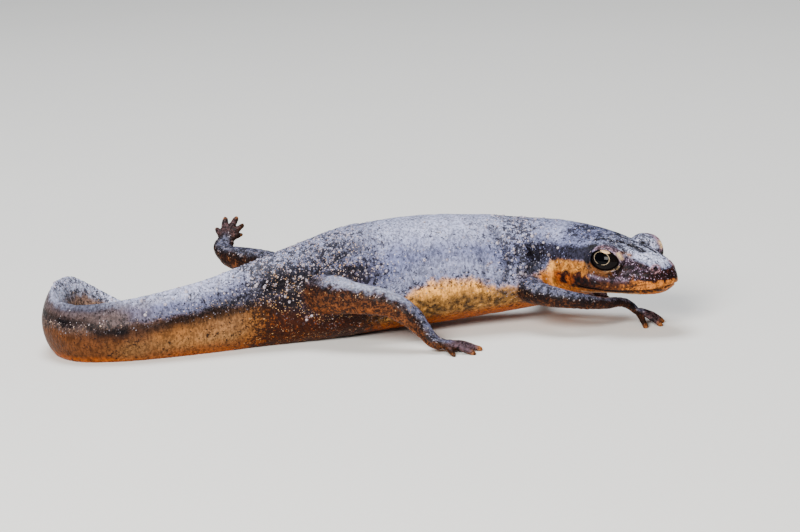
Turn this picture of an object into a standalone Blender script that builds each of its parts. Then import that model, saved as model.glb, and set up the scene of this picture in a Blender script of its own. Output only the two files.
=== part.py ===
"""A smooth newt at life size, as a still model that rests on a flat floor.

The newt lies with its head to +X and its tail to -X. Its head is turned to its right, its left
hind leg is held off the floor, and the end of its tail is curled round. The body is lofted from
sections in order from the snout to the tip of the tail, and each limb from sections in order from
the joint inside the body to the hand or foot.
"""

import math
from typing import NamedTuple

import bmesh
import bpy
import numpy as np
from mathutils import Matrix, Vector

# Sizes are in millimetres, and MM turns them into metres where a mesh is made.
MM = 0.001
GAP = 0.30

# The model's own origin, below the middle of its box, in the coordinates of the sections.
ORIGIN_X = -3.785
ORIGIN_Y = 2.026

# The head: its snout, the way it points, and the places measured back from the snout.
SNOUT_X = 22.92
SNOUT_Y = -4.99
HEAD_TURN = math.radians(-40)
SNOUT_ROUND = 1.7
TAIL_ROUND = 0.8

# Where the body is parted, measured back from the snout along the middle line.
BODY_CUTS = {
    "head": (0.0, 10.4),
    "neck": (10.4, 13.3),
    "chest": (13.3, 18.6),
    "belly": (18.6, 28.6),
    "pelvis": (28.6, 37.2),
    "tail_base": (37.2, 46.4),
    "tail_middle": (46.4, 54.4),
    "tail_bend": (54.4, 61.2),
    "tail_return": (61.2, 67.4),
    "tail_tip": (67.4, None),
}


class Section(NamedTuple):
    """One upright section of the body. Its widest line lies at that share of its depth."""

    x: float
    y: float
    underside: float
    back: float
    half_width: float
    widest: float
    squareness: float


def head_place(behind, aside=0.0):
    """The plan position that far behind the snout and that far to the newt's left."""
    forward = (math.cos(HEAD_TURN), math.sin(HEAD_TURN))
    return (
        SNOUT_X - behind * forward[0] - aside * forward[1],
        SNOUT_Y - behind * forward[1] + aside * forward[0],
    )


HEAD_SECTIONS = [
    Section(*head_place(0.0), 3.90, 5.55, 1.25, 0.38, 2.2),
    Section(*head_place(1.1), 3.40, 6.12, 1.90, 0.36, 2.25),
    Section(*head_place(2.8), 3.18, 6.78, 2.62, 0.34, 2.35),
    Section(*head_place(4.9), 3.12, 7.35, 3.26, 0.36, 2.4),
    Section(*head_place(7.2), 2.95, 7.92, 3.76, 0.40, 2.35),
    Section(*head_place(9.0), 2.55, 8.28, 3.76, 0.44, 2.25),
]
TRUNK_SECTIONS = [
    Section(14.2, 2.00, 1.90, 8.65, 3.45, 0.46, 2.2),
    Section(10.9, 2.85, 1.25, 8.95, 3.75, 0.46, 2.2),
    Section(6.9, 2.85, 0.80, 9.40, 4.25, 0.46, 2.1),
    Section(2.6, 2.40, 0.45, 9.70, 4.60, 0.45, 2.1),
    Section(-1.8, 1.70, 0.25, 9.55, 4.55, 0.45, 2.1),
    Section(-5.6, 0.90, -0.08, 8.95, 4.00, 0.46, 2.1),
    Section(-9.2, -0.05, -0.28, 8.05, 3.15, 0.46, 2.0),
    Section(-12.6, -1.20, -0.34, 7.10, 2.45, 0.46, 1.8),
]
TAIL_SECTIONS = [
    Section(-16.3, -2.55, -0.36, 6.05, 2.00, 0.46, 1.7),
    Section(-20.2, -3.75, -0.36, 5.40, 1.62, 0.48, 1.6),
    Section(-24.1, -4.35, -0.34, 4.92, 1.36, 0.50, 1.6),
    Section(-27.4, -3.70, -0.26, 4.68, 1.20, 0.50, 1.6),
    Section(-29.3, -1.40, 0.02, 4.85, 1.10, 0.50, 1.6),
    Section(-29.8, 1.60, 0.35, 5.10, 1.02, 0.50, 1.6),
    Section(-29.5, 4.50, 0.75, 5.20, 0.94, 0.50, 1.6),
    Section(-28.5, 6.90, 0.95, 4.90, 0.82, 0.50, 1.6),
    Section(-26.6, 8.40, 0.90, 3.45, 0.62, 0.50, 1.6),
    Section(-24.4, 8.75, 0.85, 2.05, 0.46, 0.50, 1.6),
    Section(-22.2, 8.40, 0.85, 1.40, 0.32, 0.50, 1.6),
]

# The eye, its lids, the nostril and the mouth.
EYE_BEHIND = 4.75
EYE_ASIDE = 2.54
EYE_HEIGHT = 6.26
EYE_SIZE = (1.32, 1.15, 1.06)
EYE_GAP = 0.20
LID_THICKNESS = 0.23
EYE_FORWARD = math.radians(14)
EYE_UP = math.radians(12)
LID_OPENING_LONG = 1.20
LID_OPENING_HIGH = 0.86
NOSTRIL_BEHIND = 1.00
NOSTRIL_ASIDE = 1.30
NOSTRIL_HEIGHT = 5.70
NOSTRIL_RADIUS = 0.20
MOUTH_CORNER = 7.6
MOUTH_HEIGHTS = [(-1.0, 4.22), (0.6, 4.05), (3.2, 3.70), (5.8, 3.76), (MOUTH_CORNER, 3.98)]
MOUTH_GAP = 0.22
LIP_LEDGE = 0.12


class Joint(NamedTuple):
    """One section of a limb, square to the limb's own line."""

    x: float
    y: float
    z: float
    half_width: float
    half_height: float


class Digit(NamedTuple):
    """A finger or toe: its angle from the line of the palm, its length and its radius."""

    angle: float
    length: float
    radius: float


class Limb(NamedTuple):
    """A limb's joints from inside the body outwards, and the digits that fan out of its palm."""

    names: tuple
    joints: list
    elbow: int
    wrist: int
    heading: Vector
    up: Vector
    digits: list


FINGERS = [Digit(54, 1.2, 0.27), Digit(18, 1.7, 0.29), Digit(-18, 1.8, 0.29), Digit(-54, 1.3, 0.27)]
TOES = [
    Digit(60, 1.6, 0.28),
    Digit(32, 2.3, 0.31),
    Digit(6, 2.8, 0.33),
    Digit(-20, 2.7, 0.33),
    Digit(-50, 1.8, 0.29),
]


def heading_of(turn, climb=0.0):
    """The unit vector that points that many degrees to the left of +X and that many up."""
    turn, climb = math.radians(turn), math.radians(climb)
    return Vector(
        (math.cos(turn) * math.cos(climb), math.sin(turn) * math.cos(climb), math.sin(climb))
    )


LIMBS = [
    Limb(
        ("right_upper_arm", "right_forearm", "right_hand"),
        [
            Joint(11.3, 1.50, 4.00, 1.50, 1.50),
            Joint(11.0, -0.90, 3.50, 1.15, 1.15),
            Joint(12.8, -2.90, 3.20, 0.87, 0.87),
            Joint(15.1, -3.40, 2.83, 0.68, 0.68),
            Joint(17.2, -2.35, 2.30, 0.60, 0.58),
            Joint(18.9, -1.15, 1.95, 0.50, 0.46),
            Joint(19.6, -0.90, 1.45, 0.66, 0.38),
            Joint(20.0, -0.85, 0.95, 0.78, 0.34),
        ],
        3,
        5,
        heading_of(-16),
        Vector((0, 0, 1)),
        FINGERS,
    ),
    Limb(
        ("left_upper_arm", "left_forearm", "left_hand"),
        [
            Joint(11.6, 3.80, 4.30, 1.60, 1.60),
            Joint(11.9, 6.00, 4.00, 1.30, 1.30),
            Joint(11.8, 7.60, 3.60, 0.98, 0.98),
            Joint(12.3, 8.90, 2.90, 0.84, 0.84),
            Joint(13.6, 9.50, 1.90, 0.76, 0.74),
            Joint(14.9, 9.60, 1.05, 0.60, 0.52),
            Joint(15.6, 9.65, 0.66, 0.80, 0.42),
            Joint(16.2, 9.70, 0.50, 0.88, 0.38),
        ],
        3,
        5,
        heading_of(8),
        Vector((0, 0, 1)),
        [digit._replace(angle=-digit.angle) for digit in FINGERS],
    ),
    Limb(
        ("right_thigh", "right_shank", "right_foot"),
        [
            Joint(-8.4, -0.60, 4.40, 1.80, 1.80),
            Joint(-6.4, -2.70, 4.40, 1.65, 1.60),
            Joint(-3.6, -4.40, 4.25, 1.32, 1.30),
            Joint(-0.9, -5.40, 3.80, 1.10, 1.10),
            Joint(0.7, -6.10, 2.85, 0.98, 0.96),
            Joint(1.8, -6.65, 1.60, 0.72, 0.68),
            Joint(2.5, -6.95, 0.85, 0.95, 0.50),
            Joint(3.4, -7.25, 0.52, 1.15, 0.42),
        ],
        3,
        5,
        heading_of(-14),
        Vector((0, 0, 1)),
        TOES,
    ),
    Limb(
        ("left_thigh", "left_shank", "left_foot"),
        [
            Joint(-7.8, 1.20, 4.40, 1.80, 1.80),
            Joint(-8.7, 3.60, 4.50, 1.65, 1.60),
            Joint(-9.9, 6.10, 4.60, 1.32, 1.30),
            Joint(-11.5, 8.10, 4.85, 1.12, 1.12),
            Joint(-13.4, 9.20, 5.15, 1.02, 1.00),
            Joint(-15.0, 9.90, 5.55, 0.84, 0.80),
            Joint(-15.5, 10.70, 6.10, 0.88, 0.56),
            Joint(-15.2, 11.50, 6.70, 1.08, 0.44),
        ],
        3,
        5,
        heading_of(68, 40),
        Vector((-0.10, -0.60, 0.80)),
        [digit._replace(angle=-digit.angle, length=digit.length - 0.5) for digit in TOES],
    ),
]

# How finely the meshes are divided: points round a section, and millimetres between sections.
POINTS_HEAD, STEP_HEAD = 32, 0.72
POINTS_TRUNK, STEP_TRUNK = 24, 1.45
POINTS_TAIL, STEP_TAIL = 16, 1.35
POINTS_LIMB, STEP_LIMB = 12, 0.85
POINTS_DIGIT, STEP_DIGIT = 8, 0.55

COLOURS = {
    "back": ((0.055, 0.050, 0.055), 0.42),
    "underside": ((0.42, 0.16, 0.045), 0.45),
    "eye": ((0.012, 0.010, 0.010), 0.06),
}


def clear_scene():
    """Removes what the new file holds."""
    for thing in list(bpy.data.objects):
        bpy.data.objects.remove(thing, do_unlink=True)


def make_material(name, kind):
    """A Principled BSDF of that name, with the colour and roughness of one kind of surface."""
    colour, roughness = COLOURS[kind]
    material = bpy.data.materials.new(name)
    material.use_nodes = True
    shader = material.node_tree.nodes["Principled BSDF"]
    shader.inputs["Base Color"].default_value = (*colour, 1)
    shader.inputs["Roughness"].default_value = roughness
    shader.inputs["Metallic"].default_value = 0.0
    return material


class Course:
    """A smooth course through rows of numbers, whose first `axes` columns are positions."""

    def __init__(self, rows, axes):
        self.rows = np.array(rows, float)
        steps = np.linalg.norm(np.diff(self.rows[:, :axes], axis=0), axis=1)
        self.at = np.concatenate([[0.0], np.cumsum(steps)])
        slopes = np.diff(self.rows, axis=0) / steps[:, None]
        inner = (slopes[:-1] * steps[1:, None] + slopes[1:] * steps[:-1, None]) / (
            steps[1:, None] + steps[:-1, None]
        )
        self.slopes = np.vstack([slopes[0], inner, slopes[-1]])
        self.length = float(self.at[-1])

    def row(self, distance):
        """The numbers at that distance along the course, as a cubic between its rows."""
        k = int(np.clip(np.searchsorted(self.at, distance) - 1, 0, len(self.at) - 2))
        span = self.at[k + 1] - self.at[k]
        t = (distance - self.at[k]) / span
        start, end = self.rows[k], self.rows[k + 1]
        start_slope, end_slope = self.slopes[k] * span, self.slopes[k + 1] * span
        return (
            start * (2 * t**3 - 3 * t**2 + 1)
            + end * (3 * t**2 - 2 * t**3)
            + start_slope * (t**3 - 2 * t**2 + t)
            + end_slope * (t**3 - t**2)
        )

    def direction(self, distance, axes):
        """The unit direction of the course at that distance."""
        ahead = self.row(min(distance + 0.05, self.length))[:axes]
        behind = self.row(max(distance - 0.05, 0.0))[:axes]
        return (ahead - behind) / np.linalg.norm(ahead - behind)


BODY = Course(HEAD_SECTIONS + TRUNK_SECTIONS + TAIL_SECTIONS, 2)


def power_point(angle, power):
    """The point of the unit superellipse at that angle."""
    c, s = math.cos(angle), math.sin(angle)
    return (
        math.copysign(abs(c) ** (2 / power), c),
        math.copysign(abs(s) ** (2 / power), s),
    )


def body_ring(distance, points, swell=0.0, slim=0.0):
    """The body's section at that distance behind the snout, as points in millimetres.

    swell makes it larger all round, and slim makes it narrower from side to side.
    """
    section = Section(*BODY.row(distance))
    heading = BODY.direction(distance, 2)
    size = 1.0
    if distance < SNOUT_ROUND:
        size = math.sqrt(1 - (1 - distance / SNOUT_ROUND) ** 2)
    elif distance > BODY.length - TAIL_ROUND:
        size = math.sqrt(max(0.0, 1 - (1 - (BODY.length - distance) / TAIL_ROUND) ** 2))
    size = max(size, 0.12)
    middle = section.underside + (section.back - section.underside) * section.widest
    up = (section.back - middle) * size + swell
    down = (middle - section.underside) * size + swell
    wide = section.half_width * size + swell - slim
    ring = []
    for k in range(points):
        across, rise = power_point(2 * math.pi * k / points, section.squareness)
        height = middle + rise * (up if rise > 0 else down)
        ring.append(
            Vector(
                (
                    section.x - heading[1] * across * wide,
                    section.y + heading[0] * across * wide,
                    height if swell else max(height, 0.0),
                )
            )
        )
    return ring


def limb_ring(course, distance, points, square_to=None):
    """A limb's section at that distance along it, square to its line there or elsewhere."""
    x, y, z, half_width, half_height = course.row(distance)
    along = Vector(course.direction(distance if square_to is None else square_to, 3))
    side = Vector((-along.y, along.x, 0))
    if side.length < 0.05:
        side = Vector((0, 1, 0))
    side.normalize()
    rise = along.cross(side) * -1
    ring = []
    for k in range(points):
        across, up = power_point(2 * math.pi * k / points, 2.0)
        point = Vector((x, y, z)) + side * across * half_width - rise * up * half_height
        point.z = max(point.z, 0.0)
        ring.append(point)
    return ring


def placed(point):
    """A point in the sections' millimetres, in metres from the model's own origin."""
    return Vector((point.x - ORIGIN_X, point.y - ORIGIN_Y, point.z)) * MM


def loft(name, rings):
    """A closed object through rings of points, each end closed by a fan."""
    mesh = bmesh.new()
    rows = [[mesh.verts.new(placed(point)) for point in ring] for ring in rings]
    count = len(rings[0])
    for row, following in zip(rows, rows[1:]):
        for k in range(count):
            after = (k + 1) % count
            mesh.faces.new((row[k], row[after], following[after], following[k]))
    for row in (rows[0], rows[-1]):
        middle = mesh.verts.new(sum((v.co for v in row), Vector()) / count)
        for k in range(count):
            mesh.faces.new((row[k], row[(k + 1) % count], middle))
    bmesh.ops.recalc_face_normals(mesh, faces=mesh.faces)
    return finished(name, mesh)


def finished(name, mesh):
    """The object of that bmesh, which is freed."""
    data = bpy.data.meshes.new(name)
    mesh.to_mesh(data)
    mesh.free()
    made = bpy.data.objects.new(name, data)
    bpy.context.scene.collection.objects.link(made)
    return made


def distances(start, end, step):
    """Evenly spaced distances from start to end, about step apart."""
    count = max(2, round((end - start) / step) + 1)
    return [float(d) for d in np.linspace(start, end, count)]


def body_piece(name, start, end, points, step, swell=0.0, slim=0.0):
    """The body between two distances behind the snout, short of each by half the gap."""
    first = start + GAP / 2 if start > 0 else 0.02
    last = end - GAP / 2 if end else BODY.length - 0.02
    rings = [body_ring(d, points, swell, slim) for d in distances(first, last, step)]
    return loft(name, rings)


def ball(name, centre, grown, segments=28):
    """An ellipsoid in line with the head, larger all round than the eye by that much."""
    mesh = bmesh.new()
    bmesh.ops.create_uvsphere(mesh, u_segments=segments, v_segments=segments // 2, radius=MM)
    turn = Matrix.Rotation(HEAD_TURN, 3, "Z")
    for vertex in mesh.verts:
        scaled = Vector([part * (half + grown) for part, half in zip(vertex.co, EYE_SIZE)])
        vertex.co = placed(centre) + turn @ scaled
    return finished(name, mesh)


def rod(name, start, along, length, radius_long, radius_high, segments=24):
    """An elliptical rod from a point in millimetres, long across the floor."""
    mesh = bmesh.new()
    bmesh.ops.create_cone(
        mesh, cap_ends=True, segments=segments, radius1=MM, radius2=MM, depth=length * MM
    )
    side = Vector((-along.y, along.x, 0)).normalized()
    rise = along.cross(side)
    for vertex in mesh.verts:
        local = vertex.co.copy()
        vertex.co = (
            placed(start)
            + side * local.x * radius_long
            + rise * local.y * radius_high
            + along * (local.z + length * MM / 2)
        )
    bmesh.ops.recalc_face_normals(mesh, faces=mesh.faces)
    return finished(name, mesh)


def combine(target, others, operation):
    """Applies one Boolean of the other objects to the target, and removes them."""
    operands = bpy.data.collections.new("operands")
    bpy.context.scene.collection.children.link(operands)
    for other in others:
        operands.objects.link(other)
    modifier = target.modifiers.new(operation.lower(), "BOOLEAN")
    modifier.operation = operation
    modifier.operand_type = "COLLECTION"
    modifier.collection = operands
    modifier.solver = "EXACT"
    graph = bpy.context.evaluated_depsgraph_get()
    result = bpy.data.meshes.new_from_object(target.evaluated_get(graph))
    target.modifiers.clear()
    target.data = result
    for other in others:
        bpy.data.objects.remove(other, do_unlink=True)
    bpy.data.collections.remove(operands)


def keep_largest(target):
    """Keeps only the target's largest closed surface."""
    mesh = bmesh.new()
    mesh.from_mesh(target.data)
    unseen = set(mesh.verts)
    islands = []
    while unseen:
        todo = [unseen.pop()]
        island = set(todo)
        while todo:
            for edge in todo.pop().link_edges:
                for vertex in edge.verts:
                    if vertex in unseen:
                        unseen.remove(vertex)
                        island.add(vertex)
                        todo.append(vertex)
        islands.append(island)
    islands.sort(key=len)
    for island in islands[:-1]:
        bmesh.ops.delete(mesh, geom=list(island), context="VERTS")
    mesh.to_mesh(target.data)
    mesh.free()


def eye_place(side):
    """An eye's centre, and the way it looks. side is 1 on the newt's left and -1 on its right."""
    x, y = head_place(EYE_BEHIND, side * EYE_ASIDE)
    turn = HEAD_TURN + side * (math.pi / 2 - EYE_FORWARD)
    level = math.cos(EYE_UP)
    look = Vector((math.cos(turn) * level, math.sin(turn) * level, math.sin(EYE_UP)))
    return Vector((x, y, EYE_HEIGHT)), look


def mouth_height(behind):
    """The height of the mouth's line that far behind the snout."""
    places, heights = zip(*MOUTH_HEIGHTS)
    return float(np.interp(behind, places, heights))


def jaw_block(name, clearance):
    """The space of the lower jaw: below the mouth's line and ahead of its corner.

    clearance grows it upwards and backwards.
    """
    reach, bottom = 7.0, 1.0
    back = MOUTH_CORNER + clearance
    profile = [(d, mouth_height(d) + clearance) for d in distances(-1.0, back, 0.9)]
    profile += [(back - 0.9, bottom), (-1.0, bottom)]
    mesh = bmesh.new()
    sides = []
    for aside in (-reach, reach):
        row = []
        for behind, height in profile:
            x, y = head_place(behind, aside)
            row.append(mesh.verts.new(placed(Vector((x, y, height)))))
        sides.append(row)
    mesh.faces.new(sides[0])
    mesh.faces.new(sides[1][::-1])
    for k in range(len(profile)):
        after = (k + 1) % len(profile)
        mesh.faces.new((sides[0][k], sides[1][k], sides[1][after], sides[0][after]))
    bmesh.ops.recalc_face_normals(mesh, faces=mesh.faces)
    bmesh.ops.triangulate(mesh, faces=mesh.faces)
    return finished(name, mesh)


def make_head():
    """The head with its lids, sockets and nostrils, and the lower jaw below the mouth."""
    start, end = BODY_CUTS["head"]
    head = body_piece("head", start, end, POINTS_HEAD, STEP_HEAD)
    jaw = body_piece("lower_jaw", start, end, POINTS_HEAD, STEP_HEAD, slim=LIP_LEDGE)
    combine(jaw, [jaw_block("jaw_space", 0.0)], "INTERSECT")
    lids, cutters, eyes = [], [jaw_block("jaw_clearance", MOUTH_GAP)], []
    for side, name in ((1, "left_eye"), (-1, "right_eye")):
        centre, look = eye_place(side)
        lids.append(ball("lid", centre - look * 0.06, EYE_GAP + LID_THICKNESS))
        cutters.append(ball("socket", centre, EYE_GAP))
        cutters.append(rod("opening", centre, look, 4.0, LID_OPENING_LONG, LID_OPENING_HIGH))
        x, y = head_place(NOSTRIL_BEHIND, side * NOSTRIL_ASIDE)
        turn = HEAD_TURN + side * math.radians(50)
        outwards = Vector((math.cos(turn), math.sin(turn), 0.25)).normalized()
        start_point = Vector((x, y, NOSTRIL_HEIGHT)) - outwards * 0.5
        cutters.append(rod("nostril", start_point, outwards, 3.0, NOSTRIL_RADIUS, NOSTRIL_RADIUS, 8))
        eyes.append(ball(name, centre, 0.0))
    combine(head, lids, "UNION")
    combine(head, cutters, "DIFFERENCE")
    return [head, jaw, *eyes]


def make_digits(limb):
    """The limb's fingers or toes, as rods that fan out of the palm and bend to the floor."""
    *_, palm, knuckles = limb.joints
    base = Vector(palm[:3]).lerp(Vector(knuckles[:3]), 0.6)
    up = (limb.up - limb.heading * limb.up.dot(limb.heading)).normalized()
    left = up.cross(limb.heading)
    made = []
    for digit in limb.digits:
        turn = math.radians(digit.angle)
        along = limb.heading * math.cos(turn) + left * math.sin(turn)
        root = base + along * 0.35
        tip = base + along * (0.6 + digit.length)
        if limb.up.z == 1:
            tip.z = digit.radius * 0.42
        middle = root.lerp(tip, 0.5) + up * 0.14
        rows = [
            (*root, digit.radius * 1.10, digit.radius * 0.95),
            (*root.lerp(middle, 0.55), digit.radius * 1.02, digit.radius * 0.95),
            (*middle, digit.radius, digit.radius * 0.92),
            (*middle.lerp(tip, 0.6), digit.radius * 0.92, digit.radius * 0.84),
            (*tip, digit.radius * 0.66, digit.radius * 0.60),
            (*(tip + along * digit.radius * 0.55), digit.radius * 0.22, digit.radius * 0.20),
        ]
        course = Course(rows, 3)
        steps = distances(0.0, course.length, STEP_DIGIT)
        made.append(loft("digit", [limb_ring(course, d, POINTS_DIGIT) for d in steps]))
    return made


def make_limb(limb):
    """The limb's three nodes, parted at the elbow or knee and at the wrist or ankle."""
    course = Course(limb.joints, 3)
    cuts = [0.0, course.at[limb.elbow], course.at[limb.wrist], course.length]
    nodes = []
    for name, start, end in zip(limb.names, cuts, cuts[1:]):
        first = start + (GAP / 2 if start else 0.0)
        last = end - (GAP / 2 if end < course.length else 0.0)
        inner = distances(first, last, STEP_LIMB)[1:-1]
        rings = [limb_ring(course, d, POINTS_LIMB) for d in inner]
        rings.insert(0, limb_ring(course, first, POINTS_LIMB, square_to=start))
        rings.append(limb_ring(course, last, POINTS_LIMB, square_to=end))
        nodes.append(loft(name, rings))
    combine(nodes[2], make_digits(limb), "UNION")
    keep_largest(nodes[2])
    body = body_piece("body", 8.0, 45.0, POINTS_TRUNK, STEP_TRUNK, swell=GAP)
    combine(nodes[0], [body], "DIFFERENCE")
    keep_largest(nodes[0])
    return nodes


def make_body():
    """The nodes of the neck, trunk and tail."""
    nodes = []
    for name, (start, end) in BODY_CUTS.items():
        if name == "head":
            continue
        tail = name.startswith("tail")
        points, step = (POINTS_TAIL, STEP_TAIL) if tail else (POINTS_TRUNK, STEP_TRUNK)
        nodes.append(body_piece(name, start, end, points, step))
    return nodes


def set_origin(node):
    """Moves the node's own origin to the middle of its box, and leaves its shape in place."""
    corners = [Vector(corner) for corner in node.bound_box]
    middle = (corners[0] + corners[6]) / 2
    node.data.transform(Matrix.Translation(-middle))
    node.location = middle


def main():
    clear_scene()
    newt = bpy.data.collections.new("smooth_newt")
    bpy.context.scene.collection.children.link(newt)
    root = bpy.data.objects.new("smooth_newt", None)
    root.empty_display_size = 10 * MM
    newt.objects.link(root)
    nodes = make_head() + make_body()
    for limb in LIMBS:
        nodes += make_limb(limb)
    for node in nodes:
        kind = "back"
        if node.name.endswith("_eye"):
            kind = "eye"
        elif node.name == "lower_jaw":
            kind = "underside"
        node.data.materials.clear()
        node.data.materials.append(make_material(node.name, kind))
        node.data.shade_smooth()
        node.data.set_sharp_from_angle(angle=math.radians(40))
        set_origin(node)
        node.parent = root
        for collection in list(node.users_collection):
            collection.objects.unlink(node)
        newt.objects.link(node)


main()
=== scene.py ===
"""The looks of a smooth newt at life size: one unbroken skin, its eyes and its skin glands.

The skin is shaped in millimetres, in the coordinates of the body's sections, and is turned into
metres from the model's own origin once it is whole.
"""

import math
from typing import NamedTuple

import bmesh
import bpy
import numpy as np
from mathutils import Matrix, Vector, noise
from mathutils.bvhtree import BVHTree


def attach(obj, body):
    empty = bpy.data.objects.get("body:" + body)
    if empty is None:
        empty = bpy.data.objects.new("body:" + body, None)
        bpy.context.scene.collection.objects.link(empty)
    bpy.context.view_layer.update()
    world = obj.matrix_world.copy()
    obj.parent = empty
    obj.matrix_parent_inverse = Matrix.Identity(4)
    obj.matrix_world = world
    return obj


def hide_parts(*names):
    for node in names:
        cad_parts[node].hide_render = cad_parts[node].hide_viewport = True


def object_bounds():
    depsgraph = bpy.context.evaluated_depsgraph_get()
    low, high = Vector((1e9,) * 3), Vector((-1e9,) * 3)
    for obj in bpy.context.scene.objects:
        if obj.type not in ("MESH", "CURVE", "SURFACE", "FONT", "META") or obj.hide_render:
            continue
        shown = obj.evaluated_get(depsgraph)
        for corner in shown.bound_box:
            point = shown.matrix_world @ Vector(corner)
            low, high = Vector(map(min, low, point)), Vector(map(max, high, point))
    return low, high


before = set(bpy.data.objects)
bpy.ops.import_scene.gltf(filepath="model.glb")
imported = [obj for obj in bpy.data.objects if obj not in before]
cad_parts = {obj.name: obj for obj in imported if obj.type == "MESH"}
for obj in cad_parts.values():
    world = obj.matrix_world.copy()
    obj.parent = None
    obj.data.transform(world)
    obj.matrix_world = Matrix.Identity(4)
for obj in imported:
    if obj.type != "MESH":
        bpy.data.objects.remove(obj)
cad_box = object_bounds()


# The body. A newt's head, trunk and tail are one soft tube of muscle over a light frame of bone,
# so it is lofted as one form, from upright sections in order from the snout to the tail's tip.
MM = 0.001
ORIGIN = np.array((-3.785, 2.026, 0.0))
SNOUT = np.array((22.92, -4.99))
HEAD_TURN = math.radians(-40)
SNOUT_ROUND = 1.7
TAIL_ROUND = 0.8
KEEL_START, KEEL_FULL = 33.0, 44.0
KEEL_HIGH, KEEL_WIDTH = 0.22, 0.16
BODY_STEP, BODY_AROUND = 0.3, 96


def head_place(behind, aside=0.0):
    """The plan position that far behind the snout and that far to the newt's left."""
    forward = (math.cos(HEAD_TURN), math.sin(HEAD_TURN))
    return (
        SNOUT[0] - behind * forward[0] - aside * forward[1],
        SNOUT[1] - behind * forward[1] + aside * forward[0],
    )


# Each section: its place in plan, underside, back, half width, the share of its depth at which it
# is widest, and how square it is, from 1.6 for a keeled tail to 2.4 for a flat-topped head.
HEAD_SECTIONS = [
    (*head_place(0.0), 3.90, 5.55, 1.25, 0.38, 2.2),
    (*head_place(1.1), 3.40, 6.12, 1.90, 0.36, 2.25),
    (*head_place(2.8), 3.18, 6.78, 2.62, 0.34, 2.35),
    (*head_place(4.9), 3.12, 7.35, 3.26, 0.36, 2.4),
    (*head_place(7.2), 2.95, 7.92, 3.76, 0.40, 2.35),
    (*head_place(9.0), 2.55, 8.28, 3.76, 0.44, 2.25),
]
TRUNK_SECTIONS = [
    (14.2, 2.00, 1.90, 8.65, 3.45, 0.46, 2.2),
    (10.9, 2.85, 1.25, 8.95, 3.75, 0.46, 2.2),
    (6.9, 2.85, 0.80, 9.40, 4.25, 0.46, 2.1),
    (2.6, 2.40, 0.45, 9.70, 4.60, 0.45, 2.1),
    (-1.8, 1.70, 0.25, 9.55, 4.55, 0.45, 2.1),
    (-5.6, 0.90, -0.08, 8.95, 4.00, 0.46, 2.1),
    (-9.2, -0.05, -0.28, 8.05, 3.15, 0.46, 2.0),
    (-12.6, -1.20, -0.34, 7.10, 2.45, 0.46, 1.8),
]
TAIL_SECTIONS = [
    (-16.3, -2.55, -0.36, 6.05, 2.00, 0.46, 1.7),
    (-20.2, -3.75, -0.36, 5.40, 1.62, 0.48, 1.6),
    (-24.1, -4.35, -0.34, 4.92, 1.36, 0.50, 1.6),
    (-27.4, -3.70, -0.26, 4.68, 1.20, 0.50, 1.6),
    (-29.3, -1.40, 0.02, 4.85, 1.10, 0.50, 1.6),
    (-29.8, 1.60, 0.35, 5.10, 1.02, 0.50, 1.6),
    (-29.5, 4.50, 0.75, 5.20, 0.94, 0.50, 1.6),
    (-28.5, 6.90, 0.95, 4.90, 0.82, 0.50, 1.6),
    (-26.6, 8.40, 0.90, 3.45, 0.62, 0.50, 1.6),
    (-24.4, 8.75, 0.85, 2.05, 0.46, 0.50, 1.6),
    (-22.2, 8.40, 0.85, 1.40, 0.32, 0.50, 1.6),
]


def ease(value, start, end):
    """A smooth step, from 0 at start to 1 at end."""
    share = np.clip((value - start) / (end - start), 0.0, 1.0)
    return share * share * (3 - 2 * share)


def hump(value, middle, width):
    """A smooth hump, 1 at the middle and fading over that width to either side."""
    return np.exp(-(((value - middle) / width) ** 2))


class Course:
    """A smooth course through rows of numbers, whose first `axes` columns are positions."""

    def __init__(self, rows, axes):
        self.rows = np.array(rows, float)
        self.axes = axes
        steps = np.linalg.norm(np.diff(self.rows[:, :axes], axis=0), axis=1)
        self.at = np.concatenate([[0.0], np.cumsum(steps)])
        slopes = np.diff(self.rows, axis=0) / steps[:, None]
        inner = (slopes[:-1] * steps[1:, None] + slopes[1:] * steps[:-1, None]) / (
            steps[1:, None] + steps[:-1, None]
        )
        self.slopes = np.vstack([slopes[0], inner, slopes[-1]])
        self.length = float(self.at[-1])

    def row(self, distance):
        """The numbers at each of those distances along the course, as cubics between its rows."""
        distance = np.asarray(distance, float)
        k = np.clip(np.searchsorted(self.at, distance) - 1, 0, len(self.at) - 2)
        span = (self.at[k + 1] - self.at[k])[..., None]
        t = (distance - self.at[k])[..., None] / span
        return (
            self.rows[k] * (2 * t**3 - 3 * t**2 + 1)
            + self.rows[k + 1] * (3 * t**2 - 2 * t**3)
            + self.slopes[k] * span * (t**3 - 2 * t**2 + t)
            + self.slopes[k + 1] * span * (t**3 - t**2)
        )

    def direction(self, distance):
        """The unit direction of the course at each of those distances."""
        ahead = self.row(np.minimum(distance + 0.05, self.length))[..., : self.axes]
        behind = self.row(np.maximum(distance - 0.05, 0.0))[..., : self.axes]
        return (ahead - behind) / np.linalg.norm(ahead - behind, axis=-1, keepdims=True)

    def nearest(self, points, step=0.1, block=4000):
        """How far along the course it comes nearest to each point."""
        at = np.arange(0.0, self.length, step)
        places = self.row(at)[:, : self.axes]
        points = points[:, : self.axes]
        found = []
        for start in range(0, len(points), block):
            apart = points[start : start + block, None] - places[None]
            found.append(at[np.argmin((apart**2).sum(axis=2), axis=1)])
        found = np.concatenate(found)
        offset = points - self.row(found)[:, : self.axes]
        slide = (offset * self.direction(found)).sum(axis=1)
        return np.clip(found + np.clip(slide, -step, step), 0.0, self.length)


BODY = Course(HEAD_SECTIONS + TRUNK_SECTIONS + TAIL_SECTIONS, 2)


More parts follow.
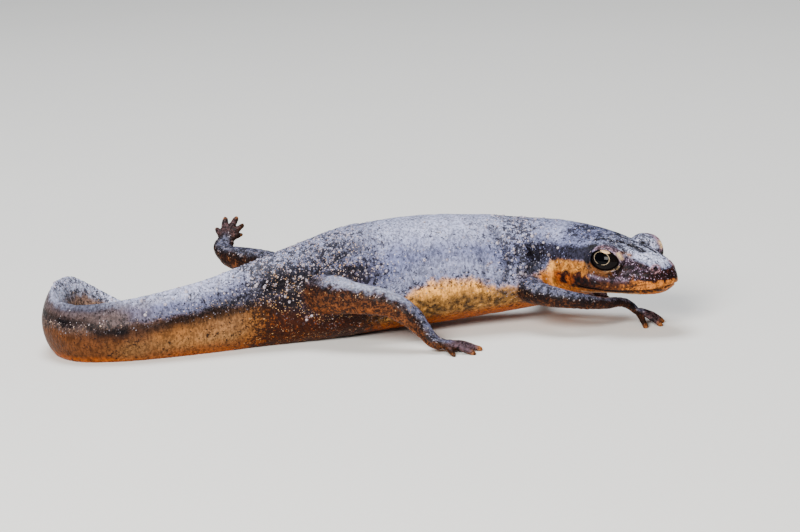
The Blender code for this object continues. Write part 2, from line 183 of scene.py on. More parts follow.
def power_ring(count, squareness):
    """The points of a unit superellipse, one row for each squareness."""
    angle = np.linspace(0, 2 * math.pi, count, endpoint=False)
    power = 2 / np.reshape(squareness, (-1, 1))
    return [np.sign(f(angle)) * np.abs(f(angle)) ** power for f in (np.cos, np.sin)]


def body_rings(distance, count):
    """Rings of points round the body at those distances behind the snout."""
    x, y, underside, back, half_width, widest, squareness = BODY.row(distance).T
    heading = BODY.direction(distance)
    past = np.maximum(1 - distance / SNOUT_ROUND, 1 - (BODY.length - distance) / TAIL_ROUND)
    size = np.sqrt(1 - np.clip(past, 0.0, 1.0) ** 2)[:, None]
    middle = (underside + (back - underside) * widest)[:, None]
    across, rise = power_ring(count, squareness)
    tall = np.where(rise > 0, back[:, None] - middle, middle - underside[:, None])
    keel = ease(distance, KEEL_START, KEEL_FULL)[:, None] * hump(across, 0.0, KEEL_WIDTH)
    wide = across * half_width[:, None] * size
    return np.stack(
        [
            x[:, None] - heading[:, 1:] * wide,
            y[:, None] + heading[:, :1] * wide,
            middle + (rise * tall + np.sign(rise) * KEEL_HIGH * keel) * size,
        ],
        axis=-1,
    )


def end_steps(length, step, rounded):
    """Distances from 0 to that length, set closer where each end is rounded off."""
    bend = (1 - np.cos(np.linspace(0.06, math.pi / 2, 10))) * rounded
    inner = np.arange(rounded + step, length - rounded, step)
    return np.concatenate([bend, inner, length - bend[::-1]])


def closed_shell(rings):
    """The points and faces of a closed surface through rings, with a fan over each end."""
    count, around = rings.shape[:2]
    points = np.vstack([rings.reshape(-1, 3), rings[0].mean(axis=0), rings[-1].mean(axis=0)])
    faces = []
    for first in range(0, (count - 1) * around, around):
        for k in range(around):
            a, b = first + k, first + (k + 1) % around
            faces.append((a, b, b + around, a + around))
    last = (count - 1) * around
    for k in range(around):
        after = (k + 1) % around
        faces.append((after, k, count * around))
        faces.append((last + k, last + after, count * around + 1))
    return points, faces


def place_object(name, data):
    """An object of that mesh, lamp or camera, put in the scene."""
    made = bpy.data.objects.new(name, data)
    bpy.context.scene.collection.objects.link(made)
    return made


def make_object(name, points, faces):
    """A mesh object of those points and faces."""
    mesh = bpy.data.meshes.new(name)
    mesh.from_pydata(np.asarray(points).tolist(), [], faces)
    return place_object(name, mesh)


body_steps = end_steps(BODY.length, BODY_STEP, SNOUT_ROUND)
body_shell = closed_shell(body_rings(body_steps, BODY_AROUND))
body = make_object("body", *body_shell)


# The lids, sockets and nostrils. The eyes stand out from the sides of the head under soft lids,
# which are swellings of the skin itself, cut open over the eye in a slanting almond.
EYE_BEHIND = {1: 4.75, -1: 5.02}
EYE_ASIDE, EYE_HEIGHT = 2.54, 6.29
EYE_LONG, EYE_HIGH, EYE_DEEP = 1.44, 1.20, 1.27
LID_LONG, LID_HIGH, LID_DEEP = 1.66, 1.36, 1.43
EYE_FORWARD, EYE_UP = math.radians(14), math.radians(12)
EYE_TILT = math.radians(-8)
TEAR_GAP = 0.02
OPENING_LONG, OPENING_HIGH = 1.32, 0.86
OPENING_POINT = 1.25
NOSTRIL_BEHIND, NOSTRIL_ASIDE, NOSTRIL_HEIGHT = 1.00, 1.30, 5.70
NOSTRIL_RADIUS, NOSTRIL_DEPTH = 0.17, 0.5
NOSTRIL_TURN, NOSTRIL_RISE = math.radians(50), 0.25
LID_CUT, NOSTRIL_CUT = 4.0, 3.0
SIDES = {"left": 1, "right": -1}


def eye_frame(side):
    """An eye's centre and its axes: ahead along the eye, up across it, and the way it looks."""
    turn = HEAD_TURN + side * (math.pi / 2 - EYE_FORWARD)
    level = math.cos(EYE_UP)
    look = Vector((math.cos(turn) * level, math.sin(turn) * level, math.sin(EYE_UP)))
    up = (Vector((0, 0, 1)) - look * look.z).normalized()
    ahead = look.cross(up) * side
    ahead = Matrix.Rotation(EYE_TILT * -side, 3, look) @ ahead
    up = ahead.cross(look) * side
    centre = Vector((*head_place(EYE_BEHIND[side], side * EYE_ASIDE), EYE_HEIGHT))
    return centre, ahead, up, look


def nostril_frame(side):
    """A nostril's place on the snout and the way it faces."""
    turn = HEAD_TURN + side * NOSTRIL_TURN
    outwards = Vector((math.cos(turn), math.sin(turn), NOSTRIL_RISE)).normalized()
    return Vector((*head_place(NOSTRIL_BEHIND, side * NOSTRIL_ASIDE), NOSTRIL_HEIGHT)), outwards


def ball_shell(centre, ahead, up, look, half_sizes, count=48):
    """An ellipsoid whose poles lie on the line that the eye looks along."""
    long, high, deep = half_sizes
    tilt = np.linspace(0.03, math.pi - 0.03, count // 2)[:, None]
    angle = np.linspace(0, 2 * math.pi, count, endpoint=False)[None]
    handed = 1 if ahead.cross(up).dot(look) > 0 else -1
    rings = (
        np.array(centre)
        + (long * np.sin(tilt) * np.cos(angle))[..., None] * np.array(ahead)
        + (handed * high * np.sin(tilt) * np.sin(angle))[..., None] * np.array(up)
        - (deep * np.cos(tilt) + 0 * angle)[..., None] * np.array(look)
    )
    return closed_shell(rings)


def rod_shell(start, along, side, rise, length, half_long, half_high, point=1.0, count=40):
    """A rod from a start point, as thick as an ellipse, whose ends are drawn to a point."""
    angle = np.linspace(0, 2 * math.pi, count, endpoint=False)
    handed = 1 if side.cross(rise).dot(along) > 0 else -1
    high = np.sin(angle) * np.abs(np.sin(angle)) ** (point - 1) * half_high * handed
    outline = (
        np.outer(np.cos(angle) * half_long, np.array(side)) + np.outer(high, np.array(rise))
    )
    ends = [np.array(start) + np.array(along) * reach for reach in (0.0, length)]
    return closed_shell(np.stack([outline + end for end in ends]))


def bake(target):
    """Turns a piece and its modifiers into one plain mesh."""
    graph = bpy.context.evaluated_depsgraph_get()
    target.data = bpy.data.meshes.new_from_object(target.evaluated_get(graph))
    target.modifiers.clear()


def apply_modifier(target, kind, **settings):
    """Applies one modifier with those settings to the target."""
    modifier = target.modifiers.new("applied", kind)
    for name, value in settings.items():
        setattr(modifier, name, value)
    bake(target)


def combine(target, shells, operation):
    """Applies one Boolean of those shells to the target."""
    operands = bpy.data.collections.new("operands")
    bpy.context.scene.collection.children.link(operands)
    others = [make_object("operand", *shell) for shell in shells]
    for other in others:
        operands.objects.link(other)
    apply_modifier(
        target,
        "BOOLEAN",
        operation=operation,
        operand_type="COLLECTION",
        collection=operands,
        solver="MANIFOLD",
    )
    for other in others:
        bpy.data.objects.remove(other, do_unlink=True)
    bpy.data.collections.remove(operands)


lids, hollows = [], []
for side in SIDES.values():
    centre, ahead, up, look = eye_frame(side)
    lids.append(ball_shell(centre, ahead, up, look, (LID_LONG, LID_HIGH, LID_DEEP)))
    socket = (EYE_LONG + TEAR_GAP, EYE_HIGH + TEAR_GAP, EYE_DEEP + TEAR_GAP)
    hollows.append(ball_shell(centre, ahead, up, look, socket))
    almond = (LID_CUT, OPENING_LONG, OPENING_HIGH, OPENING_POINT)
    hollows.append(rod_shell(centre, look, ahead, up, *almond))
    nostril, outwards = nostril_frame(side)
    start = nostril - outwards * NOSTRIL_DEPTH
    level = Vector((-outwards.y, outwards.x, 0)).normalized()
    hole = (NOSTRIL_CUT, NOSTRIL_RADIUS, NOSTRIL_RADIUS)
    hollows.append(rod_shell(start, outwards, level, outwards.cross(level), *hole, count=16))
combine(body, lids, "UNION")
combine(body, hollows, "DIFFERENCE")


# The legs. Each is one tapered form from inside the body to the palm, thick at the shoulder or
# hip, with slender fingers or toes that fan out of it, four in front and five behind.
class Limb(NamedTuple):
    """A limb's joints, the way its palm points and faces, and its digits from one side over.

    A joint is a place, a half width and a half height. A digit is an angle from the line of the
    palm, a length and a radius.
    """

    name: str
    joints: list
    heading: Vector
    up: Vector
    digits: list


def heading_of(turn, climb=0.0):
    """The unit vector that points that many degrees to the left of +X and that many up."""
    turn, climb = math.radians(turn), math.radians(climb)
    return Vector(
        (math.cos(turn) * math.cos(climb), math.sin(turn) * math.cos(climb), math.sin(climb))
    )


FINGERS = [(54, 1.2, 0.27), (18, 1.7, 0.29), (-18, 1.8, 0.29), (-54, 1.3, 0.27)]
TOES = [(60, 1.6, 0.28), (32, 2.3, 0.31), (6, 2.8, 0.33), (-20, 2.7, 0.33), (-50, 1.8, 0.29)]
LIFTED_TOE_SHORTER = 0.5
LIFTED_FAN = 0.8
KNUCKLES_AT = 0.6
DIGIT_START, DIGIT_REACH = 0.35, 0.6
DIGIT_ARCH = 0.14
TIP_REST = 0.42
LIMB_MESH = {"step": 0.22, "count": 48, "rounded": 0.45}
DIGIT_MESH = {"step": 0.10, "count": 20, "rounded": 0.14}
LIMBS = [
    Limb(
        "right_arm",
        [
            (11.3, 1.50, 4.00, 1.50, 1.50),
            (11.0, -0.90, 3.50, 1.15, 1.15),
            (12.8, -2.90, 3.20, 0.87, 0.87),
            (15.1, -3.40, 2.83, 0.68, 0.68),
            (17.2, -2.35, 2.34, 0.56, 0.54),
            (18.9, -1.15, 1.98, 0.45, 0.41),
            (19.6, -0.90, 1.45, 0.60, 0.35),
            (20.0, -0.85, 0.95, 0.72, 0.32),
        ],
        heading_of(-16),
        Vector((0, 0, 1)),
        FINGERS,
    ),
    Limb(
        "left_arm",
        [
            (11.6, 3.80, 4.30, 1.60, 1.60),
            (11.9, 6.00, 4.00, 1.30, 1.30),
            (11.8, 7.60, 3.60, 0.98, 0.98),
            (12.3, 8.90, 2.90, 0.84, 0.84),
            (13.6, 9.50, 1.90, 0.76, 0.74),
            (14.9, 9.60, 1.05, 0.60, 0.52),
            (15.6, 9.65, 0.66, 0.80, 0.42),
            (16.2, 9.70, 0.50, 0.88, 0.38),
        ],
        heading_of(8),
        Vector((0, 0, 1)),
        [(-angle, length, radius) for angle, length, radius in FINGERS],
    ),
    Limb(
        "right_leg",
        [
            (-8.4, -0.60, 4.40, 1.80, 1.80),
            (-6.4, -2.70, 4.40, 1.65, 1.60),
            (-3.6, -4.40, 4.25, 1.32, 1.30),
            (-0.9, -5.40, 3.80, 1.10, 1.10),
            (0.7, -6.10, 2.85, 0.98, 0.96),
            (1.8, -6.65, 1.60, 0.72, 0.68),
            (2.5, -6.95, 0.85, 0.95, 0.50),
            (3.4, -7.25, 0.52, 1.15, 0.42),
        ],
        heading_of(-14),
        Vector((0, 0, 1)),
        TOES,
    ),
    Limb(
        "left_leg",
        [
            (-7.8, 1.20, 4.40, 1.80, 1.80),
            (-8.7, 3.60, 4.50, 1.65, 1.60),
            (-9.9, 6.10, 4.62, 1.40, 1.38),
            (-11.5, 8.10, 4.90, 1.25, 1.25),
            (-13.4, 9.20, 5.22, 1.14, 1.14),
            (-15.0, 9.90, 5.58, 0.92, 0.90),
            (-15.5, 10.70, 6.10, 0.88, 0.56),
            (-15.2, 11.50, 6.70, 1.08, 0.44),
        ],
        heading_of(68, 40),
        Vector((-0.10, -0.60, 0.80)),
        [
            (-angle * LIFTED_FAN, length - LIFTED_TOE_SHORTER, radius)
            for angle, length, radius in TOES
        ],
    ),
]


def limb_axes(course, distance):
    """The middle of a limb's section and its directions to the side and up, at each distance."""
    along = course.direction(distance)
    side = np.stack([-along[..., 1], along[..., 0], 0 * along[..., 0]], axis=-1)
    side /= np.linalg.norm(side, axis=-1, keepdims=True)
    return course.row(distance), side, np.cross(along, side)


def limb_shell(course, step, count, rounded):
    """A closed tube along a limb or digit, rounded off at its ends."""
    distance = end_steps(course.length, step, rounded)
    rows, side, rise = limb_axes(course, distance)
    past = 1 - (course.length - distance) / rounded
    size = np.sqrt(1 - np.clip(past, 0.0, 1.0) ** 2)[:, None]
    across, up = power_ring(count, 2.0)
    wide, tall = across * rows[:, 3:4] * size, up * rows[:, 4:5] * size
    rings = rows[:, None, :3] + wide[..., None] * side[:, None] + tall[..., None] * rise[:, None]
    return closed_shell(rings)


def digit_courses(limb):
    """The course of each finger or toe, which bends down from the palm to the floor."""
    *_, palm, knuckles = limb.joints
    base = Vector(palm[:3]).lerp(Vector(knuckles[:3]), KNUCKLES_AT)
    up = (limb.up - limb.heading * limb.up.dot(limb.heading)).normalized()
    left = up.cross(limb.heading)
    courses = []
    for angle, length, radius in limb.digits:
        turn = math.radians(angle)
        along = limb.heading * math.cos(turn) + left * math.sin(turn)
        root = base + along * DIGIT_START
        tip = base + along * (DIGIT_REACH + length)
        if limb.up.z == 1:
            tip.z = radius * TIP_REST
        middle = root.lerp(tip, 0.5) + up * DIGIT_ARCH
        places = [
            (root, 1.10, 0.95),
            (root.lerp(middle, 0.55), 1.02, 0.95),
            (middle, 1.0, 0.92),
            (middle.lerp(tip, 0.6), 0.92, 0.84),
            (tip, 0.72, 0.64),
            (tip + along * radius * 0.55, 0.50, 0.44),
        ]
        rows = [(*place, radius * wide, radius * tall) for place, wide, tall in places]
        courses.append(Course(rows, 3))
    return courses


limb_courses = [Course(limb.joints, 3) for limb in LIMBS]
digits = [digit_courses(limb) for limb in LIMBS]
limb_shells = [
    [limb_shell(course, **LIMB_MESH)] + [limb_shell(digit, **DIGIT_MESH) for digit in fan]
    for course, fan in zip(limb_courses, digits)
]


# The skin. It is one sheet over all of the body and legs with no seam, so the forms are fused into
# one surface, fine on the head and coarser elsewhere, and their meetings are drawn into soft webs.
FUSE_STEP = 0.068
SKIN_TRIANGLES = 196000
FINE_HEAD = 9.0
HEAD_SHARE, BODY_SHARE = 0.15, 0.60
SHARE_STEPS = 24
SHAKE = 0.008
SMOOTHING, SMOOTH_ROUNDS = 0.35, 3
WEB_REACH = 0.55
WEBBING, WEB_ROUNDS = 0.6, 60


def mesh_numbers(sequence, name, width, kind=float):
    """One named value of every point, edge or face of a mesh, as rows of numbers."""
    values = np.empty(len(sequence) * width, dtype=kind)
    sequence.foreach_get(name, values)
    return values.reshape(-1, width)


def relax(points, edges, amount, rounds):
    """Moves each point by that share of the way to the middle of its neighbours, in rounds."""
    start, end = edges.T
    count = np.bincount(edges.ravel(), minlength=len(points))
    points = points.copy()
    for _ in range(rounds):
        for axis in range(3):
            level = points[:, axis]
            total = np.bincount(start, level[end], len(points))
            total += np.bincount(end, level[start], len(points))
            points[:, axis] = level + amount * (total / count - level)
    return points


def head_coordinates(points):
    """How far behind the snout each point is along the head, and how far to the newt's left."""
    forward = np.array((math.cos(HEAD_TURN), math.sin(HEAD_TURN)))
    offset = points[:, :2] - SNOUT
    return -offset @ forward, offset @ np.array((-forward[1], forward[0]))


whole = bmesh.new()
whole.from_mesh(body.data)
bpy.data.objects.remove(body, do_unlink=True)
for points, faces in [shell for shells in limb_shells for shell in shells]:
    piece = bpy.data.meshes.new("piece")
    piece.from_pydata(points.tolist(), [], faces)
    whole.from_mesh(piece)
    bpy.data.meshes.remove(piece)
skin = place_object("skin", bpy.data.meshes.new("skin"))
whole.to_mesh(skin.data)
whole.free()
apply_modifier(skin, "REMESH", mode="VOXEL", voxel_size=FUSE_STEP)

# The points are shaken by some thousandths of a millimetre, so that none lies on a flat that the
# reduction would empty of points. The smoothing after it takes the shake out again.
points = mesh_numbers(skin.data.vertices, "co", 3)
coarse = ease(head_coordinates(points)[0], FINE_HEAD - 1.5, FINE_HEAD + 2.5)
shake = np.random.default_rng(3).normal(0.0, SHAKE, points.shape)
points += shake * (0.5 + 0.5 * coarse)[:, None]
skin.data.vertices.foreach_set("co", points.ravel())
plain = skin.vertex_groups.new(name="plain")
for step in range(SHARE_STEPS + 1):
    chosen = np.flatnonzero((coarse * SHARE_STEPS).round() == step)
    share = HEAD_SHARE + (BODY_SHARE - HEAD_SHARE) * step / SHARE_STEPS
    plain.add(chosen.tolist(), share, "REPLACE")
ratio = SKIN_TRIANGLES / sum(len(face.vertices) - 2 for face in skin.data.polygons)
apply_modifier(skin, "DECIMATE", ratio=ratio, vertex_group="plain", vertex_group_factor=1.0)
skin.vertex_groups.clear()


def nearest_distances(points, shells):
    """How far each point is from the nearest of those shells."""
    trees = [BVHTree.FromPolygons(p.tolist(), f) for p, f in shells]
    return np.array([min(tree.find_nearest(p)[3] for tree in trees) for p in points.tolist()])


points = mesh_numbers(skin.data.vertices, "co", 3)
edges = mesh_numbers(skin.data.edges, "vertices", 2, np.int32)
from_body = nearest_distances(points, [body_shell])
from_limbs = np.stack([nearest_distances(points, shells) for shells in limb_shells])
from_limb = from_limbs.min(axis=0)
web = hump(np.maximum(from_body, from_limb), 0.0, WEB_REACH)
points = relax(points, edges, SMOOTHING, SMOOTH_ROUNDS)
points = relax(points, edges, WEBBING * web, WEB_ROUNDS)
points[:, 2] = np.maximum(points[:, 2], 0.0)


# The lie of the skin. Every mark and fold below is placed by how far back and how high it is on the
# body, or along a leg, so that the two sides of the animal match as they do in life.
LEG_EDGE = 0.4

skin_at = BODY.nearest(points)
section = BODY.row(skin_at)
travel = BODY.direction(skin_at)
offset = points[:, :2] - section[:, :2]
aside = travel[:, 1] * offset[:, 0] - travel[:, 0] * offset[:, 1]
depth = section[:, 3] - section[:, 2]
high = (points[:, 2] - section[:, 2]) / depth
behind, head_aside = head_coordinates(points)
on_leg = ease(from_body - from_limb, -0.15, LEG_EDGE)
on_head = ease(skin_at, 11.0, 9.5) * (1 - on_leg)
which_leg = from_limbs.argmin(axis=0)
leg_share = np.zeros(len(points))
leg_high = np.zeros(len(points))
digit_share = np.zeros(len(points))
for index, course in enumerate(limb_courses):
    chosen = np.flatnonzero((which_leg == index) & (from_limb < 4.0))
    at = course.nearest(points[chosen])
    rows, _, rise = limb_axes(course, at)
    leg_share[chosen] = at / course.length
    leg_high[chosen] = ((points[chosen] - rows[:, :3]) * rise).sum(axis=1) / rows[:, 4]
    past_palm = chosen[at > course.length - 0.6]
    nearest = np.full(len(past_palm), np.inf)
    for digit in digits[index]:
        at = digit.nearest(points[past_palm])
        apart = np.linalg.norm(points[past_palm] - digit.row(at)[:, :3], axis=1)
        closer = apart < nearest
        nearest[closer] = apart[closer]
        digit_share[past_palm[closer]] = at[closer] / digit.length


def wobble(size, seed=0, detail=2):
    """Soft random lumps over the skin, about that many millimetres across, from -1 to 1."""
    shift = Vector((seed * 7.3, seed * 3.1, seed * 5.7))
    return np.array(
        [noise.fractal(Vector(p) / size + shift, 0.9, 2.0, detail) for p in points.tolist()]
    )


# The folds. The skin is loose where the body bends: it creases at the throat, neck, shoulder and
# hip, closes along the mouth in a rounded lip, and stands up round the nostrils and eyes.
MOUTH_LINE = [
    (-0.5, 4.30),
    (0.2, 4.15),
    (0.9, 3.95),
    (1.7, 3.85),
    (3.3, 3.77),
    (5.3, 3.75),
    (6.6, 3.91),
    (7.9, 4.10),
]
MOUTH_CORNER = 7.9
MOUTH_DEPTH, MOUTH_WIDTH = 0.17, 0.085
LIP_HIGH, LIP_AT, LIP_WIDTH = 0.09, 0.28, 0.20
CHIN_DEPTH, CHIN_AT, CHIN_WIDTH = 0.05, -0.30, 0.25
NOSTRIL_RIM, NOSTRIL_RIM_AT = 0.05, 0.31
LID_RIM, LID_FURROW = 0.04, 0.05
SWELLING, PUCKERS = 0.026, 0.020
FOLD_REACH, FOLD_ASTRAY = 18.0, 0.16
BANK_HIGH, BANK_AT, BANK_WIDTH = 0.35, 2.1, 1.1
CREASE_SHADE_PER_DEPTH = 7.0
BRIDGE_DEPTH, BRIDGE_ASIDE = 0.05, 0.62
KNEE_WRINKLES, WRINKLES_PER_LEG = 0.020, 150

# The jaw's muscle, and the dip between nostril and eye: how far behind the snout each is, how
# high, its reach along and up, and how far it stands out.
FACE_FORMS = [(8.9, 5.20, 1.6, 0.90, 0.10), (2.5, 5.75, 0.9, 0.42, -0.09)]


class Fold(NamedTuple):
    """A crease through places along the body and shares of its height, on both sides."""

    places: list
    depth: float
    width: float


FOLDS = [
    Fold([(17.6, 0.92), (16.5, 0.74), (16.4, 0.58), (16.8, 0.44)], 0.18, 0.32),
    Fold([(13.7, 0.80), (13.3, 0.60), (14.3, 0.45), (14.6, 0.30)], 0.30, 0.36),
    Fold([(15.4, 0.74), (15.1, 0.58), (15.5, 0.44)], 0.12, 0.20),
    Fold([(12.1, 0.80), (12.2, 0.62), (12.9, 0.50)], 0.10, 0.20),
    Fold([(18.9, 0.76), (18.5, 0.55), (18.7, 0.38), (19.1, 0.25)], 0.09, 0.26),
    Fold([(12.1, 0.40), (11.6, 0.22), (11.3, 0.02)], 0.09, 0.28),
    Fold([(29.6, 0.89), (32.3, 0.82), (34.6, 0.75), (37.6, 0.74)], 0.45, 0.42),
    Fold([(31.0, 0.93), (33.6, 0.90), (36.4, 0.86)], 0.08, 0.30),
    Fold([(28.2, 0.62), (29.6, 0.70), (31.6, 0.72), (33.6, 0.66)], 0.17, 0.32),
    Fold([(33.2, 0.60), (35.4, 0.52), (37.8, 0.50)], 0.10, 0.34),
    Fold([(38.6, 0.62), (41.0, 0.60), (45.0, 0.55), (49.5, 0.52), (54.0, 0.52)], 0.07, 0.35),
    Fold([(30.2, 0.20), (31.6, 0.28), (33.4, 0.22)], 0.08, 0.30),
]
COSTAL_FIRST, COSTAL_STEP, COSTAL_COUNT = 19.6, 1.15, 9
FOLDS += [
    Fold([(at + 0.25, 0.78), (at, 0.5), (at + 0.1, 0.26)], 0.018, 0.26)
    for at in (COSTAL_FIRST + COSTAL_STEP * k for k in range(COSTAL_COUNT))
]


def line_distance(across, up, corners):
    """How far each pair of numbers is from a line through those corners."""
    nearest = np.full(len(across), np.inf)
    for (x0, y0), (x1, y1) in zip(corners, corners[1:]):
        run, climb = x1 - x0, y1 - y0
        share = ((across - x0) * run + (up - y0) * climb) / (run**2 + climb**2)
        share = np.clip(share, 0.0, 1.0)
        apart = np.hypot(across - x0 - share * run, up - y0 - share * climb)
        nearest = np.minimum(nearest, apart)
    return nearest


relief = SWELLING * wobble(0.9, 1) * ease(behind, 0.2, 1.4)
relief += PUCKERS * wobble(0.32, 2) * ease(skin_at, 7.0, 13.0)
# Painted shade: this mask darkens the bottoms of the folds and the nostrils' holes.
crease_shade = np.zeros(len(points))
astray = FOLD_ASTRAY * wobble(1.0, 3)
for fold in FOLDS:
    corners = []
    for at, share in fold.places:
        underside, back = BODY.row(at)[2:4]
        corners.append((at, share * back + (1 - share) * underside))
    near = (np.abs(skin_at - fold.places[0][0]) < FOLD_REACH) * (1 - on_leg)
    apart = line_distance(skin_at, points[:, 2], corners) + astray
    furrow = hump(apart, 0.0, fold.width)
    banks = BANK_HIGH * hump(apart, BANK_AT * fold.width, BANK_WIDTH * fold.width)
    relief += fold.depth * near * (banks - furrow)
    crease_shade = np.maximum(crease_shade, furrow * near * min(1.0, fold.depth * CREASE_SHADE_PER_DEPTH))

above_mouth = points[:, 2] - np.interp(behind, *zip(*MOUTH_LINE))
closed = ease(behind, MOUTH_CORNER + 0.2, MOUTH_CORNER - 0.4) * on_head
lip = hump(above_mouth, LIP_AT, LIP_WIDTH) * (0.1 + 0.9 * ease(behind, 0.1, 1.4))
relief -= MOUTH_DEPTH * hump(above_mouth, 0.0, MOUTH_WIDTH) * closed
relief += LIP_HIGH * lip * closed
relief -= CHIN_DEPTH * hump(above_mouth, CHIN_AT, CHIN_WIDTH) * closed
for back, up, long, tall, size in FACE_FORMS:
    relief += size * hump(behind, back, long) * hump(points[:, 2], up, tall) * on_head
on_top = on_head * ease(high, 0.90, 0.97)
bridge = hump(np.abs(head_aside), BRIDGE_ASIDE, 0.16) * hump(behind, 3.2, 1.5)
relief -= BRIDGE_DEPTH * bridge * on_top

eye_marks, nostril_rims = [], []
for side in SIDES.values():
    centre, ahead, up, look = eye_frame(side)
    offset = points - np.array(centre)
    along, across, out = (offset @ np.array(axis) for axis in (ahead, up, look))
    opening = np.hypot(along / OPENING_LONG, across / OPENING_HIGH)
    lid = np.hypot(along / LID_LONG, across / LID_HIGH)
    facing = ease(out, 0.1, 0.5)
    relief += LID_RIM * hump(opening, 1.10, 0.07) * facing
    relief -= LID_FURROW * hump(lid, 1.04, 0.06) * facing
    eye_marks.append((side, along, across, out, opening, lid, facing))
    nostril, outwards = (np.array(part) for part in nostril_frame(side))
    offset = points - nostril
    ring = np.linalg.norm(offset - np.outer(offset @ outwards, outwards), axis=1)
    ring[np.linalg.norm(offset, axis=1) > 1.2] = np.inf
    relief += NOSTRIL_RIM * hump(ring, NOSTRIL_RIM_AT, 0.10)
    crease_shade = np.maximum(crease_shade, hump(ring, 0.0, 0.20))
    nostril_rims.append(hump(ring, NOSTRIL_RIM_AT + 0.02, 0.11))

knees = on_leg * (hump(leg_share, 0.58, 0.10) + hump(leg_share, 0.86, 0.05))
wrinkle = np.sin(leg_share * WRINKLES_PER_LEG) * ease(digit_share, 0.05, 0.0)
relief += KNEE_WRINKLES * knees * wrinkle

skin.data.vertices.foreach_set("co", points.ravel())
normals = mesh_numbers(skin.data.vertex_normals, "vector", 3)
points = points + normals * relief[:, None]
points[:, 2] = np.maximum(points[:, 2], 0.0)
placed = np.clip((points - ORIGIN) * MM, *(np.array(corner) for corner in cad_box))
skin.data.vertices.foreach_set("co", placed.ravel())
skin.data.update()
skin.data.shade_smooth()


# The markings. Most are colour in the skin itself: slate over dark brown on the back, orange below
# and tan between, with an edge that frays into specks, a golden cheek under a black band behind
# the eye, and orange lips that close along a dark line. Some are painted light and shade: a painted
# sheen on the top, painted highlights on the head, near thigh and inside the tail's curl, and
# painted shade in the folds, low on the flanks and on the legs that lie in shadow.
SLATE = (0.155, 0.168, 0.300)
DARK_SLATE = (0.085, 0.085, 0.125)
PALE_SLATE = (0.460, 0.480, 0.660)
PAINTED_LIGHT_SLATE = (0.552, 0.576, 0.792)
INK = (0.005, 0.004, 0.005)
NIGHT = (0.016, 0.015, 0.026)
MAROON = (0.030, 0.008, 0.006)
DARK_BROWN = (0.036, 0.012, 0.006)
TOE_BROWN = (0.063, 0.0196, 0.0049)
UMBER = (0.090, 0.028, 0.007)
TAIL_BROWN = (0.135, 0.042, 0.0105)
LEG_BROWN = (0.150, 0.048, 0.016)
LID_BROWN = (0.260, 0.105, 0.036)
OLIVE = (0.062, 0.037, 0.018)
DUSK = (0.078, 0.047, 0.036)
ASH = (0.2496, 0.1504, 0.1152)
ASH_TAN = (0.340, 0.215, 0.125)
BRONZE = (0.250, 0.118, 0.040)
DULL_BRONZE = (0.200, 0.0944, 0.032)
TAN = (0.970, 0.435, 0.090)
GOLD = (0.335, 0.120, 0.021)
ORANGE = (0.320, 0.070, 0.002)
LIP = (0.470, 0.150, 0.024)
TIP = (0.300, 0.105, 0.030)
RUST = (0.170, 0.036, 0.005)
RED_RUST = (0.272, 0.0576, 0.008)
CREAM = (0.700, 0.470, 0.250)
BUTTER = (0.770, 0.517, 0.275)
VIOLET = (0.042, 0.025, 0.038)
LAVENDER = (0.340, 0.250, 0.360)
PINK = (0.460, 0.240, 0.270)
PALE_FLECK = (0.660, 0.600, 0.680)
WARM_FLECK = (0.620, 0.340, 0.140)
CHEEK_FLECK = (0.408, 0.300, 0.432)
BLUE_FLECK = (0.2325, 0.252, 0.450)

# Lines along the body are places behind the snout, with how high each is as a share of its depth.
EDGE_HIGH = [
    (10.0, 0.64),
    (11.2, 0.60),
    (12.0, 0.47),
    (14.5, 0.38),
    (15.5, 0.32),
    (17.5, 0.34),
    (19.0, 0.43),
    (20.5, 0.47),
    (23.5, 0.47),
    (25.8, 0.38),
    (28.5, 0.28),
    (33.0, 0.24),
    (36.0, 0.36),
    (38.5, 0.58),
    (42.0, 0.68),
    (46.0, 0.67),
    (52.0, 0.66),
    (77.0, 0.60),
]
TAIL_LINE = [
    (38.0, 0.69),
    (40.6, 0.68),
    (43.4, 0.65),
    (45.4, 0.62),
    (48.8, 0.60),
    (51.6, 0.60),
    (52.6, 0.74),
    (54.0, 0.77),
    (57.0, 0.77),
    (60.0, 0.70),
    (77.0, 0.55),
]
HIP_FURROW_SHADE = [(28.8, 0.88), (32.3, 0.82), (34.6, 0.75), (38.5, 0.74)]
EYE_BAND = [(6.5, 0.775), (8.0, 0.742), (10.5, 0.708), (15.0, 0.68)]
MEAN_DEPTH = 6.0

# Lines on the head are places behind the snout, with how high each is, or how far aside for the
# brow and the rows of pores. Those on a lid are measured along and across its eye.
UNDER_EYE = [(6.2, 5.02), (4.7, 4.84), (3.0, 4.78)]
UPPER_LIP = [(7.9, 4.14), (5.6, 3.98), (3.6, 3.96)]
LOWER_LIP = [(7.65, 3.36), (6.4, 3.26), (3.9, 3.38), (2.6, 3.44)]
LIP_CREASE = [(2.7, 4.28), (1.5, 4.45)]
CHEEK_SPOTS = [(3.25, 3.80), (2.85, 3.74), (2.40, 3.78), (1.85, 3.76), (1.40, 3.82), (0.95, 3.86)]
BROW = [
    (6.95, 1.60),
    (6.64, 1.14),
    (6.28, 0.83),
    (5.70, 0.78),
    (4.98, 0.90),
    (4.36, 1.34),
    (3.85, 1.60),
]
PORE_ROWS = [
    ([(4.30, -0.18), (3.10, -0.30)], 0.36),
    ([(5.50, -0.36), (4.85, -0.34)], 0.16),
    ([(3.90, 1.08), (2.60, 0.88)], 0.25),
    ([(2.20, 1.10), (1.70, 0.95)], 0.15),
]
LID_WEDGE = [(1.10, 0.74), (1.42, 0.38)]
LID_CORNER = [(1.26, 0.92), (1.75, 0.72)]

tint = np.tile(TAN, (len(points), 1))
rough, rougher, ragged = wobble(0.45, 5), wobble(1.3, 6), wobble(0.20, 7)
height = points[:, 2]


def blend(under, over, share):
    """One colour over another, by that share at each point."""
    share = share[:, None]
    return np.asarray(under) * (1 - share) + np.asarray(over) * share


def paint(colour, amount):
    """Lays a colour over the skin's tint, by that amount at each point."""
    tint[:] = blend(tint, colour, np.clip(amount, 0.0, 1.0))


